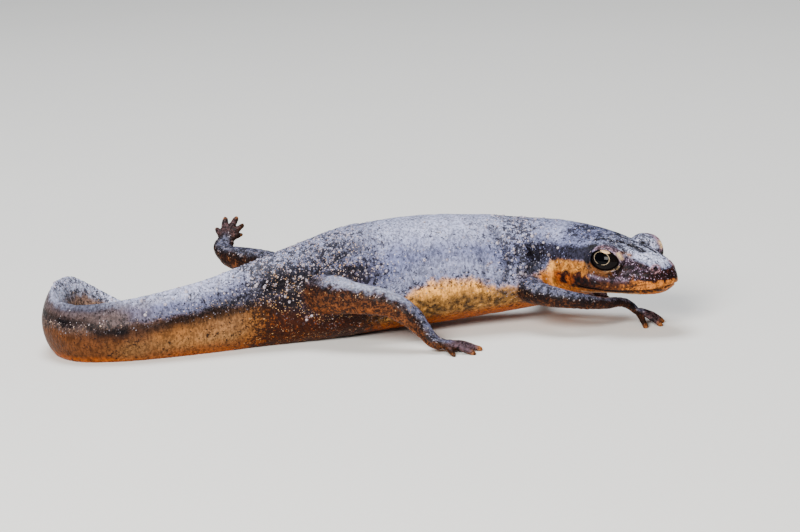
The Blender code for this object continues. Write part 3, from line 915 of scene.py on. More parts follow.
def above(start, end, torn=0.0, by=rough):
    """A smooth step up or down the body between two shares of its depth, with a torn edge."""
    return ease(high + torn * by, start, end)


def along_body(line, share=high):
    """How far each point is from one of the lines along the body, in millimetres."""
    corners = [(at, MEAN_DEPTH * up) for at, up in line]
    return line_distance(skin_at, MEAN_DEPTH * share, corners)


def patch(behind_at, up_at, radius_back, radius_high, soft=0.18, torn=0.20):
    """A patch on both sides of the head, about a place behind the snout and a height."""
    reach = np.hypot((behind - behind_at) / radius_back, (height - up_at) / radius_high)
    return ease(reach + torn * (rough + ragged), 1 + soft, 1 - soft) * on_head


def stroke(line, width):
    """A soft line on both sides of the head."""
    return hump(line_distance(behind, height, line), 0.0, width) * on_head


def each_leg(*amounts):
    """An amount for each point, from those of the right arm, left arm, right leg and left leg."""
    return np.array(amounts)[which_leg]


# On the sides, back and tail.
on_tail = ease(skin_at, 36.5, 41.0)
inside_curl = ease(skin_at, 55.5, 58.5) * (aside > 0)
on_hip = ease(skin_at, 27.0, 31.5) * (1 - on_tail)
on_flank = ease(skin_at, 12.0, 14.5) * (1 - on_tail)
edge = high - np.interp(skin_at, *zip(*EDGE_HIGH)) - 0.06 * inside_curl
edge += 0.030 * rough + 0.022 * rougher + 0.015 * ragged
# Olive low on the flanks: partly dark mottling, partly painted shade under the body's side.
paint(OLIVE, on_flank * above(0.40, 0.28, 0.05, rougher) * (0.85 + 0.4 * rough))
paint(ORANGE, above(0.17, 0.08) * on_flank)
paint(TAIL_BROWN, 0.9 * on_tail)
paint(BRONZE, on_tail * above(0.46, 0.30, 0.06, rougher) * (0.55 + 0.6 * rougher))
paint(RUST, 0.6 * on_tail * above(0.28, 0.14))
paint(DARK_BROWN, 0.45 * on_tail * above(0.40, 0.58, 0.07, rougher))
paint(ORANGE, 0.7 * on_tail * above(0.17, 0.06))
tail_root = on_tail * ease(skin_at + 1.6 * rougher, 44.0, 36.5)
paint(DARK_BROWN, 0.5 * tail_root * above(0.15, 0.35))
tail_patch = hump(skin_at, 41.5, 3.4) * hump(high + 0.04 * rough, 0.44, 0.17)
paint(ASH_TAN, 0.20 * on_tail * tail_patch)
paint(SLATE, ease(edge, -0.03, 0.055))
paint(PALE_SLATE, 0.35 * hump(edge, 0.13, 0.10) * on_flank * (1 - on_hip))
paint(DARK_BROWN, 0.85 * on_hip * ease(edge + 0.05 * rougher, 0.55, 0.36))
paint(RUST, on_hip * ease(edge, 0.14, -0.02))
paint(ORANGE, 0.85 * on_hip * above(0.26, 0.12, 0.04) * ease(skin_at, 31.0, 34.5))
tail_line = along_body(TAIL_LINE, high + 0.03 * rougher)
line_width = 0.42 + 0.35 * hump(skin_at, 40.0, 3.0)
paint(INK, 0.92 * on_tail * hump(tail_line + 0.15 * rough, 0.0, line_width))
# Painted shade: the tail's slate is painted darker below its top.
paint(DARK_SLATE, 0.50 * on_tail * ease(edge, -0.03, 0.05) * above(0.93, 0.80, 0.06))
# Painted sheen: pale slate along the top of the back and tail, weaker at the rump and neck.
painted_sheen = ease(high + 0.06 * rougher, 0.70 + 0.12 * on_tail, 0.96)
painted_sheen *= 1 - 0.5 * hump(skin_at, 33.0, 6.0) - 0.6 * hump(skin_at, 12.5, 4.0)
paint(PALE_SLATE, 0.70 * painted_sheen)

# On the tail's bend, and on its inner side past the bend.
bend_side = ease(skin_at + rougher, 45.5, 51.0) * (1 - inside_curl)
outer_bend = bend_side * above(1.03, 0.92, 0.05)
before_bend = outer_bend * ease(skin_at + rougher, 52.0, 49.0)
paint(DUSK, 0.90 * outer_bend)
paint(UMBER, 0.9 * outer_bend * above(0.66, 0.52, 0.06, rougher))
paint(DULL_BRONZE, 0.8 * before_bend * above(0.50, 0.36, 0.06, rougher))
paint(ORANGE, 0.8 * outer_bend * above(0.20, 0.08, 0.03))
paint(NIGHT, 0.8 * hump(skin_at, 53.0, 3.6) * above(0.87, 0.95, 0.03))
paint(INK, 0.92 * bend_side * hump(tail_line, 0.0, 0.48) * (0.9 + 0.5 * rougher))
# Painted light: the shaded inner face of the curl is painted far lighter than its own grey and
# red-brown.
paint(PAINTED_LIGHT_SLATE, 0.95 * inside_curl * above(0.50, 0.80, 0.08))
paint(ASH, inside_curl * above(0.76, 0.52, 0.10))
# Painted shade: dark slate along the furrow over the hip.
paint(DARK_SLATE, 0.40 * hump(along_body(HIP_FURROW_SHADE) + 0.25 * rough, 0.0, 0.75) * (1 - on_leg))

# On the legs.
leg_edge = leg_high + 0.22 * rough + 0.08 * ragged - each_leg(0.10, 0.10, 0.42, 0.35)
# Painted highlight: the near hind leg's top is painted pale slate, paler towards its ridge.
thigh_highlight = each_leg(0.05, 0.05, 1.0, 0.1) * ease(leg_share, 0.75, 0.6) * ease(leg_share, 0.16, 0.30)
right_leg = [limb.name for limb in LIMBS].index("right_leg")
thigh_root = (which_leg == right_leg) * ease(leg_share + 0.03 * rough, 0.27, 0.14)
body_tint, tint = tint, np.tile(LEG_BROWN, (len(points), 1))
paint(ORANGE, 0.25 * ease(leg_edge, -0.75, -1.15))
# Painted shade: the arms and the far hind leg get more brown and ink and less slate than the near
# leg.
browning_and_shade = each_leg(0.75, 0.75, 0.50, 0.50) + 0.3 * rougher
paint(DARK_BROWN, browning_and_shade * ease(leg_edge, -1.0, -0.35))
paint(INK, 0.75 * hump(leg_edge, 0.12, 0.24))
paint(DARK_SLATE, ease(leg_edge, 0.12, 0.40))
paint(SLATE, each_leg(0.45, 0.45, 0.9, 0.35) * ease(leg_edge, 0.40, 0.80))
ridge_highlight = np.outer(0.34 + 0.34 * ease(leg_high, 0.65, 1.0), PALE_SLATE)
paint(ridge_highlight, thigh_highlight * ease(leg_edge + 0.10 * rough, 0.20, 0.52))
paint(DARK_BROWN, 0.60 * thigh_root * ease(leg_edge, -1.1, -0.5))
paint(TOE_BROWN, 0.8 * ease(digit_share, 0.02, 0.30))
paint(TIP, ease(digit_share + 0.1 * rough, 0.74, 0.95))
tint = blend(body_tint, tint, on_leg)

# On the head.
cheek_top = 5.18 + 0.40 * behind
cheek = ease(height + 0.10 * ragged, cheek_top + 0.16, cheek_top - 0.12) * on_head
cheek *= ease(height + 0.08 * rough, 4.66, 4.86) * ease(behind, 4.9, 4.2)
paint(GOLD, on_head * ease(height, 6.5, 6.0))
paint(LIP, on_head * ease(height, 5.2, 4.8))
paint(ORANGE, 0.45 * on_head * ease(height, 4.2, 3.6))
paint(SLATE, on_head * ease(height + 0.15 * rough + 0.1 * ragged, 6.20, 6.45))
over_cheek = ease(height, cheek_top - 0.1, cheek_top + 0.1) * ease(behind, 4.0, 3.0)
paint(SLATE, on_head * over_cheek)
# Painted highlight: the top of the head is painted pale towards the snout.
paint(PAINTED_LIGHT_SLATE, on_head * above(0.82, 0.97, 0.05) * ease(behind, 8.0, 2.5))
paint(VIOLET, cheek * (1.0 + 0.4 * rough))
paint(UMBER, patch(5.2, 4.42, 3.0, 0.40) * (0.75 + 1.1 * rough))
paint(DARK_BROWN, patch(5.6, 4.34, 2.9, 0.50, 0.25, 0.5) * (0.85 + 1.3 * ragged))
paint(GOLD, patch(9.3, 5.68, 2.6, 0.66))
paint(TAN, patch(9.1, 5.70, 2.1, 0.50) * (0.15 + 0.5 * rough))
paint(LIP, 0.9 * hump(skin_at, 12.0, 2.2) * above(0.52, 0.42, 0.05) * (1 - on_leg))
paint(RED_RUST, patch(9.9, 4.60, 2.9, 0.60))
blots = ease(wobble(0.62, 9), -0.10, 0.10)
dark_cheek = np.maximum(blots, ease(behind, 8.4, 7.4))
paint(MAROON, patch(7.9, 4.66, 2.4, 0.62, 0.15, 0.45) * dark_cheek)
paint(INK, patch(7.2, 4.66, 1.9, 0.52, 0.15, 0.6) * blots)
paint(MAROON, 0.9 * stroke(UPPER_LIP, 0.13))
paint(VIOLET, 0.9 * stroke(UNDER_EYE, 0.30))
paint(LAVENDER, 0.5 * stroke(UNDER_EYE, 0.15) * (0.8 + 0.7 * ragged))
paint(MAROON, patch(0.50, 5.10, 1.60, 0.44, 0.08, 0.35) * (1.2 + 0.5 * ragged))
paint(CREAM, 0.60 * stroke(LOWER_LIP, 0.13))
paint(DARK_BROWN, 0.9 * stroke(LIP_CREASE, 0.06))
for behind_at, up_at in CHEEK_SPOTS:
    paint(INK, 0.9 * patch(behind_at, up_at, 0.22, 0.20, 0.3, 0.2))

# On the lids, with the black brow and the band behind the eye.
lid_ink = np.zeros(len(points))
clear = np.zeros(len(points))
for side, along, across, out, opening, lid, facing in eye_marks:
    near = facing * ease(lid, 1.22, 1.02)
    upper, lower = ease(across, -0.05, 0.25), ease(across, 0.0, -0.3)
    rear, front = ease(along, -0.75, -1.2), ease(along, 0.7, 1.1)
    turned = ease(out, -0.9, -0.4)
    lid_ink = np.maximum(lid_ink, facing * hump(lid, 1.12, 0.12) * (0.50 + 0.5 * upper))
    paint(SLATE, near * upper)
    paint(INK, 0.9 * facing * hump(lid, 1.05, 0.15) * upper * ease(along, 0.2, -0.5))
    paint(LAVENDER, 0.75 * near * hump(opening, 1.32, 0.26) * upper)
    blush = near * hump(opening, 1.20, 0.18) * upper * (1 - rear)
    paint(PINK, blush * (0.75 + 0.6 * ragged))
    paint(INK, near * hump(along, -0.06, 0.16) * hump(across, 0.99, 0.09))
    paint(UMBER, near * lower)
    paint(LID_BROWN, 0.9 * near * lower * hump(opening, 1.28, 0.22) * ease(along, 0.8, 0.1))
    behind_eye = hump(along, -1.62, 0.42) * hump(across, 0.28, 0.80)
    paint(INK, 0.99 * turned * ease(behind_eye + 0.12 * ragged, 0.12, 0.34))
    paint(INK, 0.9 * near * front * (1 - upper))
    paint(CREAM, 0.45 * near * hump(opening, 1.10, 0.04) * lower * ease(along, 0.0, 0.5))
    wedge = hump(line_distance(along, across, LID_WEDGE), 0.0, 0.11)
    wedge = np.minimum(1.3 * wedge, 1.0) * facing
    clear = np.maximum(clear, wedge)
    paint(BUTTER, wedge)
    corner = turned * hump(line_distance(along, across, LID_CORNER), 0.0, 0.17)
    paint(LID_BROWN, corner * (0.15 if side > 0 else 1.0))
    paint(INK, facing * ease(opening, 1.05, 0.98))
brow = line_distance(behind, np.abs(head_aside), BROW)
brow = ease(brow + 0.08 * ragged, 0.30, 0.13) * ease(height, 6.6, 6.9)
paint(INK, brow * on_head * (0.8 + 0.5 * rough))
# Painted shade: black in the deep fold of the neck.
neck_fold_shade = hump(skin_at, 13.3, 1.1) * above(0.44, 0.52, 0.05) * above(0.84, 0.74)
paint(INK, 0.85 * neck_fold_shade * (1 - on_leg))
night = ease(along_body(EYE_BAND) + 0.22 * rough + 0.14 * ragged, 0.80, 0.40)
night *= (1 - on_leg) * ease(skin_at, 15.6, 14.2)
paint(NIGHT, 0.97 * night)

# In the pores, mouth and lid rims, with painted shade in the nostrils and the folds.
pores = np.zeros(len(points))
for row, width in PORE_ROWS:
    apart = line_distance(behind, head_aside, row)
    pores = np.maximum(pores, ease(apart + 0.10 * ragged, 1.6 * width, 0.7 * width))
pores *= on_head * above(0.80, 0.90)
for rim in nostril_rims:
    paint(PINK, 0.8 * rim)
lips = ease(np.abs(above_mouth + 0.07) + 0.04 * ragged, 0.25, 0.13) * ease(behind, 2.6, 3.6)
slit = hump(above_mouth, 0.0, 0.08) * (0.45 + 0.55 * ease(behind, 0.8, 2.2))
lips = np.maximum(lips, slit) * closed
paint(INK, np.maximum.reduce([0.98 * lips, 0.62 * crease_shade, 0.9 * lid_ink, 0.95 * pores]))

# Fine ink and pale flecks, as the share of the skin that each of them covers.
on_back = ease(edge, -0.04, 0.05)
off_head, off_leg = 1 - on_head, 1 - on_leg
shoulder = hump(skin_at, 15.2, 2.6) * above(0.35, 0.5) * off_head
rump = hump(skin_at, 34.0, 6.0)
frayed = hump(edge, 0.0, 0.085) * off_head * off_leg
ink = 0.06 + 0.06 * on_back + 0.44 * rump + 0.44 * shoulder + 0.22 * inside_curl
ink += 0.16 * rougher + 0.22 * hump(edge, 0.02, 0.07) * off_head
# Part of the ink low on the flanks is painted shade.
ink += 0.04 * on_tail * (2 - on_back) + 0.14 * on_flank * above(0.36, 0.26)
ink += 0.42 * on_hip * ease(edge, 0.6, 0.4)
# Painted shade: more ink on the arms and the far hind leg.
leg_ink_and_shade = each_leg(0.45, 0.45, 0.32, 0.50) - 0.34 * thigh_highlight * ease(leg_edge, 0.1, 0.5)
ink = ink * off_leg + on_leg * (leg_ink_and_shade + 0.20 * ease(leg_edge, 0.6, 0.1))
ink += on_head * (0.18 + 0.26 * cheek + 0.28 * on_top * ease(behind, 2.5, 5.0))
ink = np.clip(ink - 1.2 * clear, -0.5, 0.85)
fleck = 0.04 + 0.42 * rump + 0.34 * shoulder + 0.08 * on_tail + 0.16 * rougher
fleck = (fleck * ease(edge, -0.15, 0.05) + 0.30 * on_hip) * off_leg
fleck += 0.42 * on_leg * ease(leg_edge, -0.4, 0.2) * ease(digit_share, 0.4, 0.1)
fleck = fleck * (1 - 0.5 * on_head) + 0.62 * cheek + 0.45 * stroke(UNDER_EYE, 0.22)
# Painted glints: pale flecks on the head's top stand for light on its wet grains.
fleck += 0.32 * on_top + 0.75 * inside_curl + 0.34 * night * ease(skin_at, 7.6, 9.0)
fleck *= 1 - 0.6 * outer_bend
fleck = np.clip(np.maximum(fleck, 0.75 * frayed) - clear, 0.0, 0.8)
warm = on_hip * ease(edge + 0.9 * ragged, 0.75, 0.3) + on_tail * above(0.6, 0.5)
warm += hump(edge, 0.0, 0.06) * off_head + on_leg * ease(leg_edge, 0.2, -0.2)
warm = np.clip(warm + 0.5 * inside_curl * above(0.7, 0.5), 0.0, 1.0)
speck = blend(PALE_FLECK, WARM_FLECK, warm)
speck = blend(speck, DARK_SLATE, ease(edge, 0.015, -0.015) * frayed**0.5)
speck = blend(blend(speck, CHEEK_FLECK, cheek), BLUE_FLECK, night)
speck *= 1 - 0.35 * on_leg[:, None]


def store(target, name, values):
    """Keeps one number or one colour for each point of a piece, under that name."""
    if values.ndim == 1:
        kept = target.data.attributes.new(name, "FLOAT", "POINT")
        kept.data.foreach_set("value", values)
    else:
        kept = target.data.attributes.new(name, "FLOAT_COLOR", "POINT")
        kept.data.foreach_set("color", np.insert(values, 3, 1.0, axis=1).ravel())


for name, values in {"ink": ink, "fleck": fleck, "tint": tint, "speck": speck}.items():
    store(skin, name, values)

flesh = [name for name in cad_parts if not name.endswith("_eye")]
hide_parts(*flesh)
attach(skin, "root")


# The skin's finish. A newt ashore is dry and velvety, with a grain of its own: its markings are
# mottled, broken up by fine ink and dotted with flecks, and their grain stands up a little.
MOTTLE, MOTTLE_LEAST, CLOUDING = 0.72, 0.29, 0.70
INK_SPREAD, INK_SOFT, INK_COVER = 0.24, 0.028, 0.86
FLECK_APART, FLECK_ASTRAY, FLECK_COVER = 0.15, 0.16, 0.85
FLECK_LEAST, FLECK_SPREAD = 0.14, 0.32
WRINKLES_PER_MM = (5.0, 5.0, 1.6)
GRAIN_SIZE = 0.16
ROUGH_LEAST, ROUGH_SPREAD = 0.28, 0.30
BLOOD_REACH = (0.0006, 0.0003, 0.0002)


def set_inputs(tree, node, inputs):
    """Links each socket, or sets each number or colour, on that input of a node."""
    for name, value in inputs.items():
        if isinstance(value, bpy.types.NodeSocket):
            tree.links.new(value, node.inputs[name])
        else:
            node.inputs[name].default_value = value
    return node


def add_node(tree, kind, inputs, **settings):
    """A new node with those settings and inputs."""
    made = tree.nodes.new(kind)
    for name, value in settings.items():
        setattr(made, name, value)
    return set_inputs(tree, made, inputs)


class Finish:
    """A material, with a short call for each kind of node that is used here."""

    def __init__(self, name):
        self.material = bpy.data.materials.new(name)
        self.material.use_nodes = True
        self.tree = self.material.node_tree
        place = self.node("ShaderNodeTexCoord", {}, "Object")
        self.place = self.node("ShaderNodeMapping", {"Vector": place, "Scale": (1 / MM,) * 3})

    def node(self, kind, inputs, output=0, **settings):
        """One output of a new node with those settings and inputs."""
        return add_node(self.tree, kind, inputs, **settings).outputs[output]

    def surface(self, inputs):
        """Links or sets the inputs of the material's own shader."""
        set_inputs(self.tree, self.tree.nodes["Principled BSDF"], inputs)

    def math(self, operation, first, second=0.0, third=0.0):
        """One sum of numbers or sockets."""
        return self.node("ShaderNodeMath", {0: first, 1: second, 2: third}, operation=operation)

    def times(self, first, second, plus=0.0):
        """The product of two numbers or sockets, and a third added."""
        return self.math("MULTIPLY_ADD", first, second, plus)

    def mix(self, share, first, second):
        """A blend of two colours."""
        inputs = {"Factor": share, 6: first, 7: second}
        return self.node("ShaderNodeMix", inputs, 2, data_type="RGBA")

    def noise(self, size, detail=3.0, rough=0.55):
        """Cloudy noise from 0 to 1, with features about that many millimetres across."""
        inputs = {"Vector": self.place, "Scale": 1 / size, "Detail": detail, "Roughness": rough}
        return self.node("ShaderNodeTexNoise", inputs)

    def step(self, value, low, high):
        """A smooth step from 0 at low to 1 at high, which may be the lesser of the two."""
        turned = low > high
        inputs = {"Value": value, "From Min": min(low, high), "From Max": max(low, high)}
        inputs.update({"To Min": float(turned), "To Max": float(not turned)})
        return self.node("ShaderNodeMapRange", inputs, interpolation_type="SMOOTHSTEP")

    def painted(self, name, output="Fac"):
        """A number or colour that was stored for each point of the piece."""
        return self.node("ShaderNodeAttribute", {}, output, attribute_name=name)

    def distance(self, across, up):
        """How far a place is from the middle of a pattern."""
        place = self.node("ShaderNodeCombineXYZ", {"X": across, "Y": up})
        return self.node("ShaderNodeVectorMath", {0: place}, "Value", operation="LENGTH")

    def bump(self, height, strength, distance, normal=None):
        """A bump of that height field, with its depth in millimetres."""
        inputs = {"Height": height, "Strength": strength, "Distance": distance * MM}
        if normal:
            inputs["Normal"] = normal
        return self.node("ShaderNodeBump", inputs)


def colour(values):
    """A colour with full alpha."""
    return (*values, 1.0)


finish = Finish("newt_skin")
fine = finish.noise(0.15, 3.0, 0.65)
middling = finish.noise(0.42, 3.0, 0.6)
cloudy = finish.noise(1.6, 3.0, 0.5)
upright = finish.node("ShaderNodeMapping", {"Vector": finish.place, "Scale": WRINKLES_PER_MM})
wrinkles = finish.node("ShaderNodeTexNoise", {"Vector": upright, "Scale": 1.0, "Detail": 3.0})
grainy = finish.times(finish.noise(0.26, 3.0, 0.7), 0.5, finish.times(wrinkles, 0.5))
grain = finish.times(middling, 0.45, finish.times(fine, 0.55))

mottled = finish.times(finish.step(grainy, 0.42, 0.58), MOTTLE, MOTTLE_LEAST)
shade = finish.times(cloudy, CLOUDING, mottled)
tinted = {0: finish.painted("tint", "Color"), 1: shade}
skin_colour = finish.node("ShaderNodeVectorMath", tinted, operation="MULTIPLY")
level = finish.times(finish.painted("ink"), INK_SPREAD, 0.5 - INK_SPREAD / 2)
inked = finish.step(finish.math("SUBTRACT", grain, level), INK_SOFT, -INK_SOFT)
skin_colour = finish.mix(finish.times(inked, INK_COVER), skin_colour, colour(INK))

wander = {"Vector": finish.place, "Scale": 9.0, "Detail": 1.0}
wander = finish.node("ShaderNodeTexNoise", wander, "Color")
shifted = {0: wander, 1: (FLECK_ASTRAY,) * 3, 2: finish.place}
bent = finish.node("ShaderNodeVectorMath", shifted, operation="MULTIPLY_ADD")
cells = add_node(finish.tree, "ShaderNodeTexVoronoi", {"Vector": bent, "Scale": 1 / FLECK_APART})
luck = {"Color": cells.outputs["Color"]}
luck = add_node(finish.tree, "ShaderNodeSeparateColor", luck).outputs
clustered = finish.times(finish.painted("fleck"), finish.step(middling, 0.40, 0.60))
chosen = finish.math("LESS_THAN", luck["Red"], finish.times(clustered, 1.5))
size = finish.times(luck["Green"], FLECK_SPREAD, FLECK_LEAST)
dots = finish.step(finish.math("SUBTRACT", cells.outputs["Distance"], size), 0.05, -0.08)
flecks = finish.times(dots, chosen)
fleck_tint = finish.painted("speck", "Color")
skin_colour = finish.mix(finish.times(flecks, FLECK_COVER), skin_colour, fleck_tint)

grains = {"Vector": finish.place, "Scale": 1 / GRAIN_SIZE}
normal = finish.bump(finish.node("ShaderNodeTexVoronoi", grains), 0.9, 0.06)
normal = finish.bump(grain, 0.35, 0.08, normal)
normal = finish.bump(grainy, 0.35, 0.10, normal)
normal = finish.bump(flecks, 0.6, 0.04, normal)
finish.surface(
    {
        "Base Color": skin_colour,
        "Roughness": finish.times(fine, ROUGH_SPREAD, ROUGH_LEAST),
        "Normal": normal,
        "Specular IOR Level": 0.04,
        "Coat Weight": 0.03,
        "Coat Roughness": 0.2,
        "Subsurface Weight": 0.05,
        "Subsurface Radius": BLOOD_REACH,
    }
)
skin.data.materials.append(finish.material)


# The glands. Toad-like grains stand out of the skin of a newt ashore, small and pale, in crowds
# over the shoulders and rump. One low dome is repeated over the skin, each grain with its own size.
GLANDS_PER_MM = 7.0
GLAND_RADIUS = (0.045, 0.175)
LARGE_GLAND_RARITY = 4.0
GLAND_FLAT = 0.6
GLAND_SEED = 11
GLAND_ROUGHNESS, GLAND_SHINE = 0.45, 0.3
PALE_LEAST, PALE_SPREAD = 0.1, 0.75

# The heights over which the glands give out, so that none stands on the very top of the back.
CLEAR_OF_TOP = 9.65, 9.35

crowd = 0.07 + 0.75 * shoulder + 0.70 * rump + 0.12 * on_tail + 0.25 * rougher
crowd *= (1 - 0.85 * outer_bend) * ease(edge, -0.05, 0.10) * ease(height, *CLEAR_OF_TOP)
crowd *= off_leg * off_head
crowd += 0.05 * on_leg * ease(leg_edge, 0.0, 0.4) * ease(digit_share, 0.2, 0.0)
crowd += 0.10 * on_head * ease(behind, 5.5, 7.0) * ease(height, 6.3, 6.6)
store(skin, "crowd", np.clip(crowd, 0.0, 1.0))

gland_finish = Finish("newt_gland")
paleness = gland_finish.times(gland_finish.painted("paleness"), PALE_SPREAD, PALE_LEAST)
gland_tint = gland_finish.painted("tint", "Color")
gland_colour = gland_finish.mix(paleness, gland_tint, colour(PALE_FLECK))
mottle = gland_finish.noise(0.05, 2.0)
dark = gland_finish.step(mottle, 0.62, 0.48)
gland_finish.surface(
    {
        "Base Color": gland_finish.mix(dark, colour(UMBER), gland_colour),
        "Normal": gland_finish.bump(mottle, 0.5, 0.02),
        "Roughness": GLAND_ROUGHNESS,
        "Specular IOR Level": GLAND_SHINE,
    }
)


def gland_tree():
    """Nodes that scatter domes over a skin by its crowd attribute, with few large ones."""
    tree = bpy.data.node_groups.new("gland_scatter", "GeometryNodeTree")
    tree.interface.new_socket("Geometry", in_out="INPUT", socket_type="NodeSocketGeometry")
    for name in ("Crowd", "Least", "Most", "Rarity", "Flat"):
        tree.interface.new_socket(name, in_out="INPUT", socket_type="NodeSocketFloat")
    tree.interface.new_socket("Seed", in_out="INPUT", socket_type="NodeSocketInt")
    tree.interface.new_socket("Geometry", in_out="OUTPUT", socket_type="NodeSocketGeometry")

    def add(kind, inputs, **settings):
        return add_node(tree, kind, inputs, **settings)

    given = add("NodeGroupInput", {}).outputs
    share = add("GeometryNodeInputNamedAttribute", {"Name": "crowd"}, data_type="FLOAT")
    density = add("ShaderNodeMath", {0: share.outputs[0], 1: given["Crowd"]}, operation="MULTIPLY")
    scattered = add(
        "GeometryNodeDistributePointsOnFaces",
        {"Mesh": given["Geometry"], "Density": density.outputs[0], "Seed": given["Seed"]},
        distribute_method="RANDOM",
    )
    paleness = add("FunctionNodeRandomValue", {"Seed": 1}, data_type="FLOAT").outputs[1]
    marked = add(
        "GeometryNodeStoreNamedAttribute",
        {"Geometry": scattered.outputs["Points"], "Name": "paleness", "Value": paleness},
        data_type="FLOAT",
        domain="POINT",
    )
    chance = add("FunctionNodeRandomValue", {"Seed": 2}, data_type="FLOAT").outputs[1]
    chance = add("ShaderNodeMath", {0: chance, 1: given["Rarity"]}, operation="POWER").outputs[0]
    limits = {"Value": chance, "To Min": given["Least"], "To Max": given["Most"]}
    size = add("ShaderNodeMapRange", limits).outputs["Result"]
    low = add("ShaderNodeMath", {0: size, 1: given["Flat"]}, operation="MULTIPLY").outputs[0]
    scale = add("ShaderNodeCombineXYZ", {"X": size, "Y": size, "Z": low})
    dome = add("GeometryNodeMeshUVSphere", {"Segments": 8, "Rings": 5, "Radius": 1.0})
    placed = add(
        "GeometryNodeInstanceOnPoints",
        {
            "Points": marked.outputs[0],
            "Instance": dome.outputs["Mesh"],
            "Rotation": scattered.outputs["Rotation"],
            "Scale": scale.outputs[0],
        },
    )
    whole = add("GeometryNodeRealizeInstances", {"Geometry": placed.outputs[0]})
    smooth = add("GeometryNodeSetShadeSmooth", {"Geometry": whole.outputs[0]})
    dressed = add(
        "GeometryNodeSetMaterial",
        {"Geometry": smooth.outputs[0], "Material": gland_finish.material},
    )
    add("NodeGroupOutput", {"Geometry": dressed.outputs[0]})
    return tree


glands = place_object("skin_glands", skin.data.copy())
scatter = glands.modifiers.new("scatter", "NODES")
scatter.node_group = gland_tree()
values = {
    "Crowd": GLANDS_PER_MM / MM**2,
    "Least": GLAND_RADIUS[0] * MM,
    "Most": GLAND_RADIUS[1] * MM,
    "Rarity": LARGE_GLAND_RARITY,
    "Flat": GLAND_FLAT,
    "Seed": GLAND_SEED,
}
for entry in scatter.node_group.interface.items_tree:
    if entry.in_out == "INPUT" and entry.name in values:
        scatter[entry.identifier] = values[entry.name]
bake(glands)
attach(glands, "root")


# The eyes. Each is a wet ball that nearly fills its lids. The iris is black, with a thin broken
# ring of gold round a long pupil that leans down at the front, and a wider patch of gold above it.
PUPIL_ALONG, PUPIL_ACROSS = -0.15, 0.13
PUPIL_LONG, PUPIL_HIGH = 0.73, 0.52
PUPIL_TILT = math.radians(-10)
PUPIL_BLACK, IRIS_BLACK = (0.001, 0.001, 0.0015), (0.004, 0.003, 0.003)
RING_GOLD, PATCH_GOLD = (0.38, 0.30, 0.20), (0.78, 0.51, 0.27)
RING_WIDTH, RING_SOFT = 0.018, 0.048
RAGGED_RING, RAGGED_PATCH = 0.12, 0.6

# The gold patch, as the scale and shift that turn a place about the pupil into one about the patch.
PATCH_LONG, PATCH_HIGH = (1.35, 0.05), (3.8, -4.55)
DUST_COVER = 0.07
EYE_WET, EYE_BEND = 0.06, 1.16

eye_finish = Finish("newt_eye")
long_share, high_share = eye_finish.painted("pupil_long"), eye_finish.painted("pupil_high")
flakes = eye_finish.noise(0.07, 3.0, 0.6)
jag = eye_finish.times(flakes, RAGGED_RING, -RAGGED_RING / 2)
reach = eye_finish.math("ADD", eye_finish.distance(long_share, high_share), jag)

dust = eye_finish.times(eye_finish.step(flakes, 0.60, 0.72), eye_finish.step(reach, 1.0, 1.2))
dust = eye_finish.times(dust, DUST_COVER)
iris = eye_finish.mix(dust, colour(IRIS_BLACK), colour(GOLD))
eye_colour = eye_finish.mix(eye_finish.step(reach, 1.0, 0.9), iris, colour(PUPIL_BLACK))

from_ring = eye_finish.math("ABSOLUTE", eye_finish.math("SUBTRACT", reach, 1.0))
ring = eye_finish.step(from_ring, RING_SOFT, RING_WIDTH)
off_middle = eye_finish.math("ABSOLUTE", eye_finish.math("ADD", long_share, -0.05))
top = eye_finish.step(high_share, -0.2, 0.2)
gap = eye_finish.math("MAXIMUM", eye_finish.step(off_middle, 0.16, 0.30), top)
ring = eye_finish.times(eye_finish.times(ring, gap), eye_finish.step(flakes, 0.30, 0.48))
eye_colour = eye_finish.mix(ring, eye_colour, colour(RING_GOLD))

patch_long = eye_finish.times(long_share, *PATCH_LONG)
over = eye_finish.distance(patch_long, eye_finish.times(high_share, *PATCH_HIGH))
over = eye_finish.times(flakes, RAGGED_PATCH, eye_finish.math("SUBTRACT", over, 0.3))
gold_patch = eye_finish.step(over, 1.05, 0.85)
eye_finish.surface(
    {
        "Base Color": eye_finish.mix(gold_patch, eye_colour, colour(PATCH_GOLD)),
        "Normal": eye_finish.bump(flakes, 0.05, 0.01),
        "Roughness": EYE_WET,
        "IOR": EYE_BEND,
    }
)

for name, side in SIDES.items():
    centre, ahead, up, look = eye_frame(side)
    points, faces = ball_shell(centre, ahead, up, look, (EYE_LONG, EYE_HIGH, EYE_DEEP), count=64)
    eye = make_object(name + "_eyeball", (points - ORIGIN) * MM, faces)
    offset = points - np.array(centre)
    along = offset @ np.array(ahead) - PUPIL_ALONG
    across = offset @ np.array(up) - PUPIL_ACROSS
    tilted = along * math.cos(PUPIL_TILT) + across * math.sin(PUPIL_TILT)
    raised = across * math.cos(PUPIL_TILT) - along * math.sin(PUPIL_TILT)
    store(eye, "pupil_long", tilted / PUPIL_LONG)
    store(eye, "pupil_high", raised / PUPIL_HIGH)
    eye.data.shade_smooth()
    eye.data.materials.append(eye_finish.material)
    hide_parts(name + "_eye")
    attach(eye, "root")


# The studio. A pale matt floor reaches past the view on every side, under one wide soft lamp
# overhead and a fainter one in front, with the camera where the animal was seen from.
CAMERA_AWAY = 280.0
CAMERA_ABOVE, CAMERA_ROLL = math.radians(12), math.radians(3)
CAMERA_CLIP = 0.01, 5.0
MM_PER_PIXEL = 0.085
IMAGE_WIDTH = 800
SENSOR_WIDTH = 36.0
VIEW_CENTRE = np.array((0.0, 0.0, 5.936))
FLOOR_REACH = 2.0
FLOOR_GREY, FLOOR_WHITE = (0.84, 0.83, 0.80), (0.90, 0.89, 0.86)
FLOOR_ROUGHNESS = 0.9
SKY, SKY_STRENGTH = (0.86, 0.92, 1.0), 0.17
LAMP_TARGET = Vector((0, 0, 0.004))

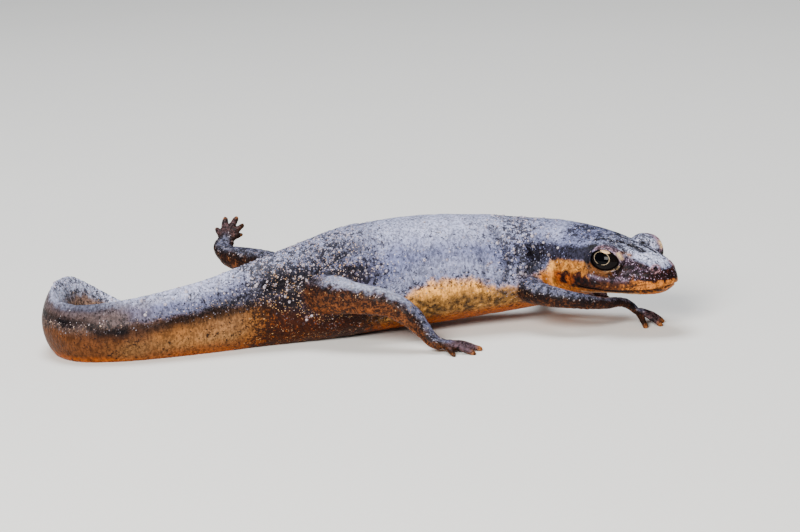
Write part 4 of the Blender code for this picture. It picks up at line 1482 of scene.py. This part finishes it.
# Each lamp: its name, place and size in metres, power in watts, and colour.
LAMPS = [
    ("overhead_lamp", (-0.04, 0.08, 0.34), 0.18, 1.25, (0.95, 0.97, 1.0)),
    ("front_lamp", (-0.10, -0.28, 0.18), 0.14, 2.1, (1.0, 0.97, 0.92)),
]

corners = [(FLOOR_REACH * x, FLOOR_REACH * y, 0) for x, y in ((-1, -1), (1, -1), (1, 1), (-1, 1))]
floor = make_object("floor", corners, [(0, 1, 2, 3)])
floor_finish = Finish("floor")
tooth = floor_finish.noise(0.5, 4.0, 0.6)
drift = floor_finish.noise(30.0, 2.0)
paper = floor_finish.times(tooth, 0.5, floor_finish.times(drift, 0.5))
floor_finish.surface(
    {
        "Base Color": floor_finish.mix(paper, colour(FLOOR_GREY), colour(FLOOR_WHITE)),
        "Normal": floor_finish.bump(tooth, 0.2, 0.03),
        "Roughness": FLOOR_ROUGHNESS,
    }
)
floor.data.materials.append(floor_finish.material)

world = bpy.data.worlds.new("studio")
bpy.context.scene.world = world
world.use_nodes = True
sky = {"Color": colour(SKY), "Strength": SKY_STRENGTH}
set_inputs(world.node_tree, world.node_tree.nodes["Background"], sky)

for name, place, size, power, glow in LAMPS:
    light = bpy.data.lights.new(name, "AREA")
    light.size, light.energy, light.color = size, power, glow
    lamp = place_object(name, light)
    lamp.location = place
    lamp.rotation_euler = (LAMP_TARGET - lamp.location).to_track_quat("-Z", "Y").to_euler()

forward = Vector((0, math.cos(CAMERA_ABOVE), -math.sin(CAMERA_ABOVE)))
tilt = Matrix.Rotation(CAMERA_ROLL, 3, forward)
right = tilt @ Vector((1, 0, 0))
up = tilt @ Vector((1, 0, 0)).cross(forward)
view = Matrix((right, up, -forward)).transposed().to_4x4()
view.translation = Vector((VIEW_CENTRE - ORIGIN) * MM) - forward * CAMERA_AWAY * MM
lens = bpy.data.cameras.new("camera")
lens.sensor_width = SENSOR_WIDTH
lens.lens = SENSOR_WIDTH * CAMERA_AWAY / (IMAGE_WIDTH * MM_PER_PIXEL)
lens.clip_start, lens.clip_end = CAMERA_CLIP
camera = place_object("camera", lens)
camera.matrix_world = view
bpy.context.scene.camera = camera
